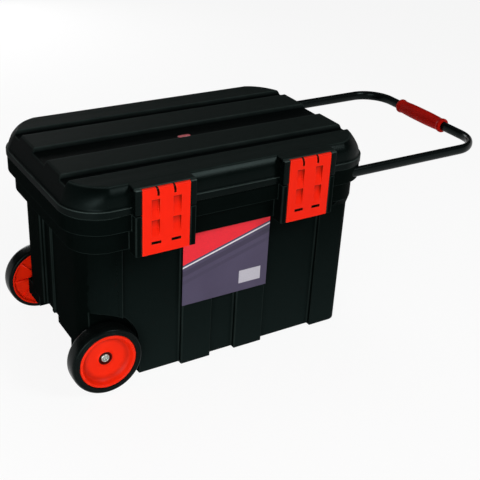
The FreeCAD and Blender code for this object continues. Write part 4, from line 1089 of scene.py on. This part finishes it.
def make_floor():
    """A pale studio floor with low walls far off, white to the eye and in reflections, that keeps a
    soft shadow."""
    corners = [(x, y, z) for z in (0, WALL_TOP) for x, y in ((-1, -1), (1, -1), (1, 1), (-1, 1))]
    walls = [(i, (i + 1) % 4, (i + 1) % 4 + 4, i + 4) for i in range(4)]
    mesh = bpy.data.meshes.new("studio_floor")
    mesh.from_pydata([(x * ROOM_HALF, y * ROOM_HALF, z) for x, y, z in corners], [], [(0, 1, 2, 3), *walls])
    floor = bpy.data.objects.new("studio_floor", mesh)
    bpy.context.scene.collection.objects.link(floor)
    material = bpy.data.materials.new("studio_paper")
    material.use_nodes = True
    tree = material.node_tree
    tree.nodes.clear()
    path = add(tree, "ShaderNodeLightPath")
    seen = add(tree, "ShaderNodeMath", {
        0: path.outputs["Is Camera Ray"], 1: path.outputs["Is Glossy Ray"],
    }, operation="MAXIMUM")
    seen = add(tree, "ShaderNodeMath", {
        0: seen.outputs[0], 1: path.outputs["Is Transmission Ray"],
    }, operation="MAXIMUM")
    share = add(tree, "ShaderNodeMath", {0: seen.outputs[0], 1: PAPER_WHITE}, operation="MULTIPLY")
    paper = add(tree, "ShaderNodeBsdfDiffuse", {"Color": colour("#F4F4F4")})
    glow = add(tree, "ShaderNodeEmission", {"Color": colour("#FFFFFF"), "Strength": 1.0})
    mixed = add(tree, "ShaderNodeMixShader", {0: share.outputs[0], 1: paper.outputs[0], 2: glow.outputs[0]})
    add(tree, "ShaderNodeOutputMaterial", {"Surface": mixed.outputs[0]})
    mesh.materials.append(material)


def make_world():
    """A dim, even light from all round."""
    world = bpy.data.worlds.new("studio_room")
    world.use_nodes = True
    tree = world.node_tree
    tree.nodes.clear()
    room = add(tree, "ShaderNodeBackground", {"Color": colour("#FFFFFF"), "Strength": ROOM_LIGHT})
    add(tree, "ShaderNodeOutputWorld", {"Surface": room.outputs[0]})
    bpy.context.scene.world = world


def softbox(name, place, target, width, height, power):
    """A soft rectangular lamp that faces its target."""
    lamp = bpy.data.lights.new(name, "AREA")
    lamp.shape = "RECTANGLE"
    lamp.size, lamp.size_y, lamp.energy = width, height, power
    holder = bpy.data.objects.new(name, lamp)
    holder.location = place
    holder.rotation_euler = (Vector(target) - Vector(place)).to_track_quat("-Z", "Y").to_euler()
    bpy.context.scene.collection.objects.link(holder)


def make_camera():
    """The camera at the photograph's place, angles and lens."""
    a, e, roll = CAMERA_AZIMUTH, CAMERA_ELEVATION, CAMERA_ROLL
    back = Vector((math.sin(a) * math.cos(e), -math.cos(a) * math.cos(e), math.sin(e)))
    level = Vector((math.cos(a), math.sin(a), 0))
    upright = back.cross(level)
    right = level * math.cos(roll) + upright * math.sin(roll)
    up = upright * math.cos(roll) - level * math.sin(roll)
    lens = bpy.data.cameras.new("studio_camera")
    lens.sensor_width = SENSOR
    lens.lens = FOCAL_PIXELS / IMAGE_SIDE * SENSOR
    camera = bpy.data.objects.new("studio_camera", lens)
    axes = Matrix((right, up, back)).transposed()
    camera.matrix_world = Matrix.Translation(CAMERA_PLACE) @ axes.to_4x4()
    bpy.context.scene.collection.objects.link(camera)
    bpy.context.scene.camera = camera


make_floor()
make_world()
softbox("key_softbox", (1.1, -1.75, 1.7), LAMP_TARGET, 0.75, 0.7, 27)
softbox("side_softbox", (-1.0, -0.9, 0.4), (-0.3, 0.16, 0.07), 0.6, 0.6, 6)
softbox("fill_softbox", (-1.3, -2.3, 1.1), LAMP_TARGET, 1.2, 1.2, 24)
softbox("top_softbox", (0.3, 0.9, 2.3), LAMP_TARGET, 1.4, 1.0, 6)
softbox("back_softbox", (0.05, 2.5, 0.7), LAMP_TARGET, 1.0, 1.0, 20)
make_camera()
bpy.context.scene.view_settings.view_transform = "Standard"
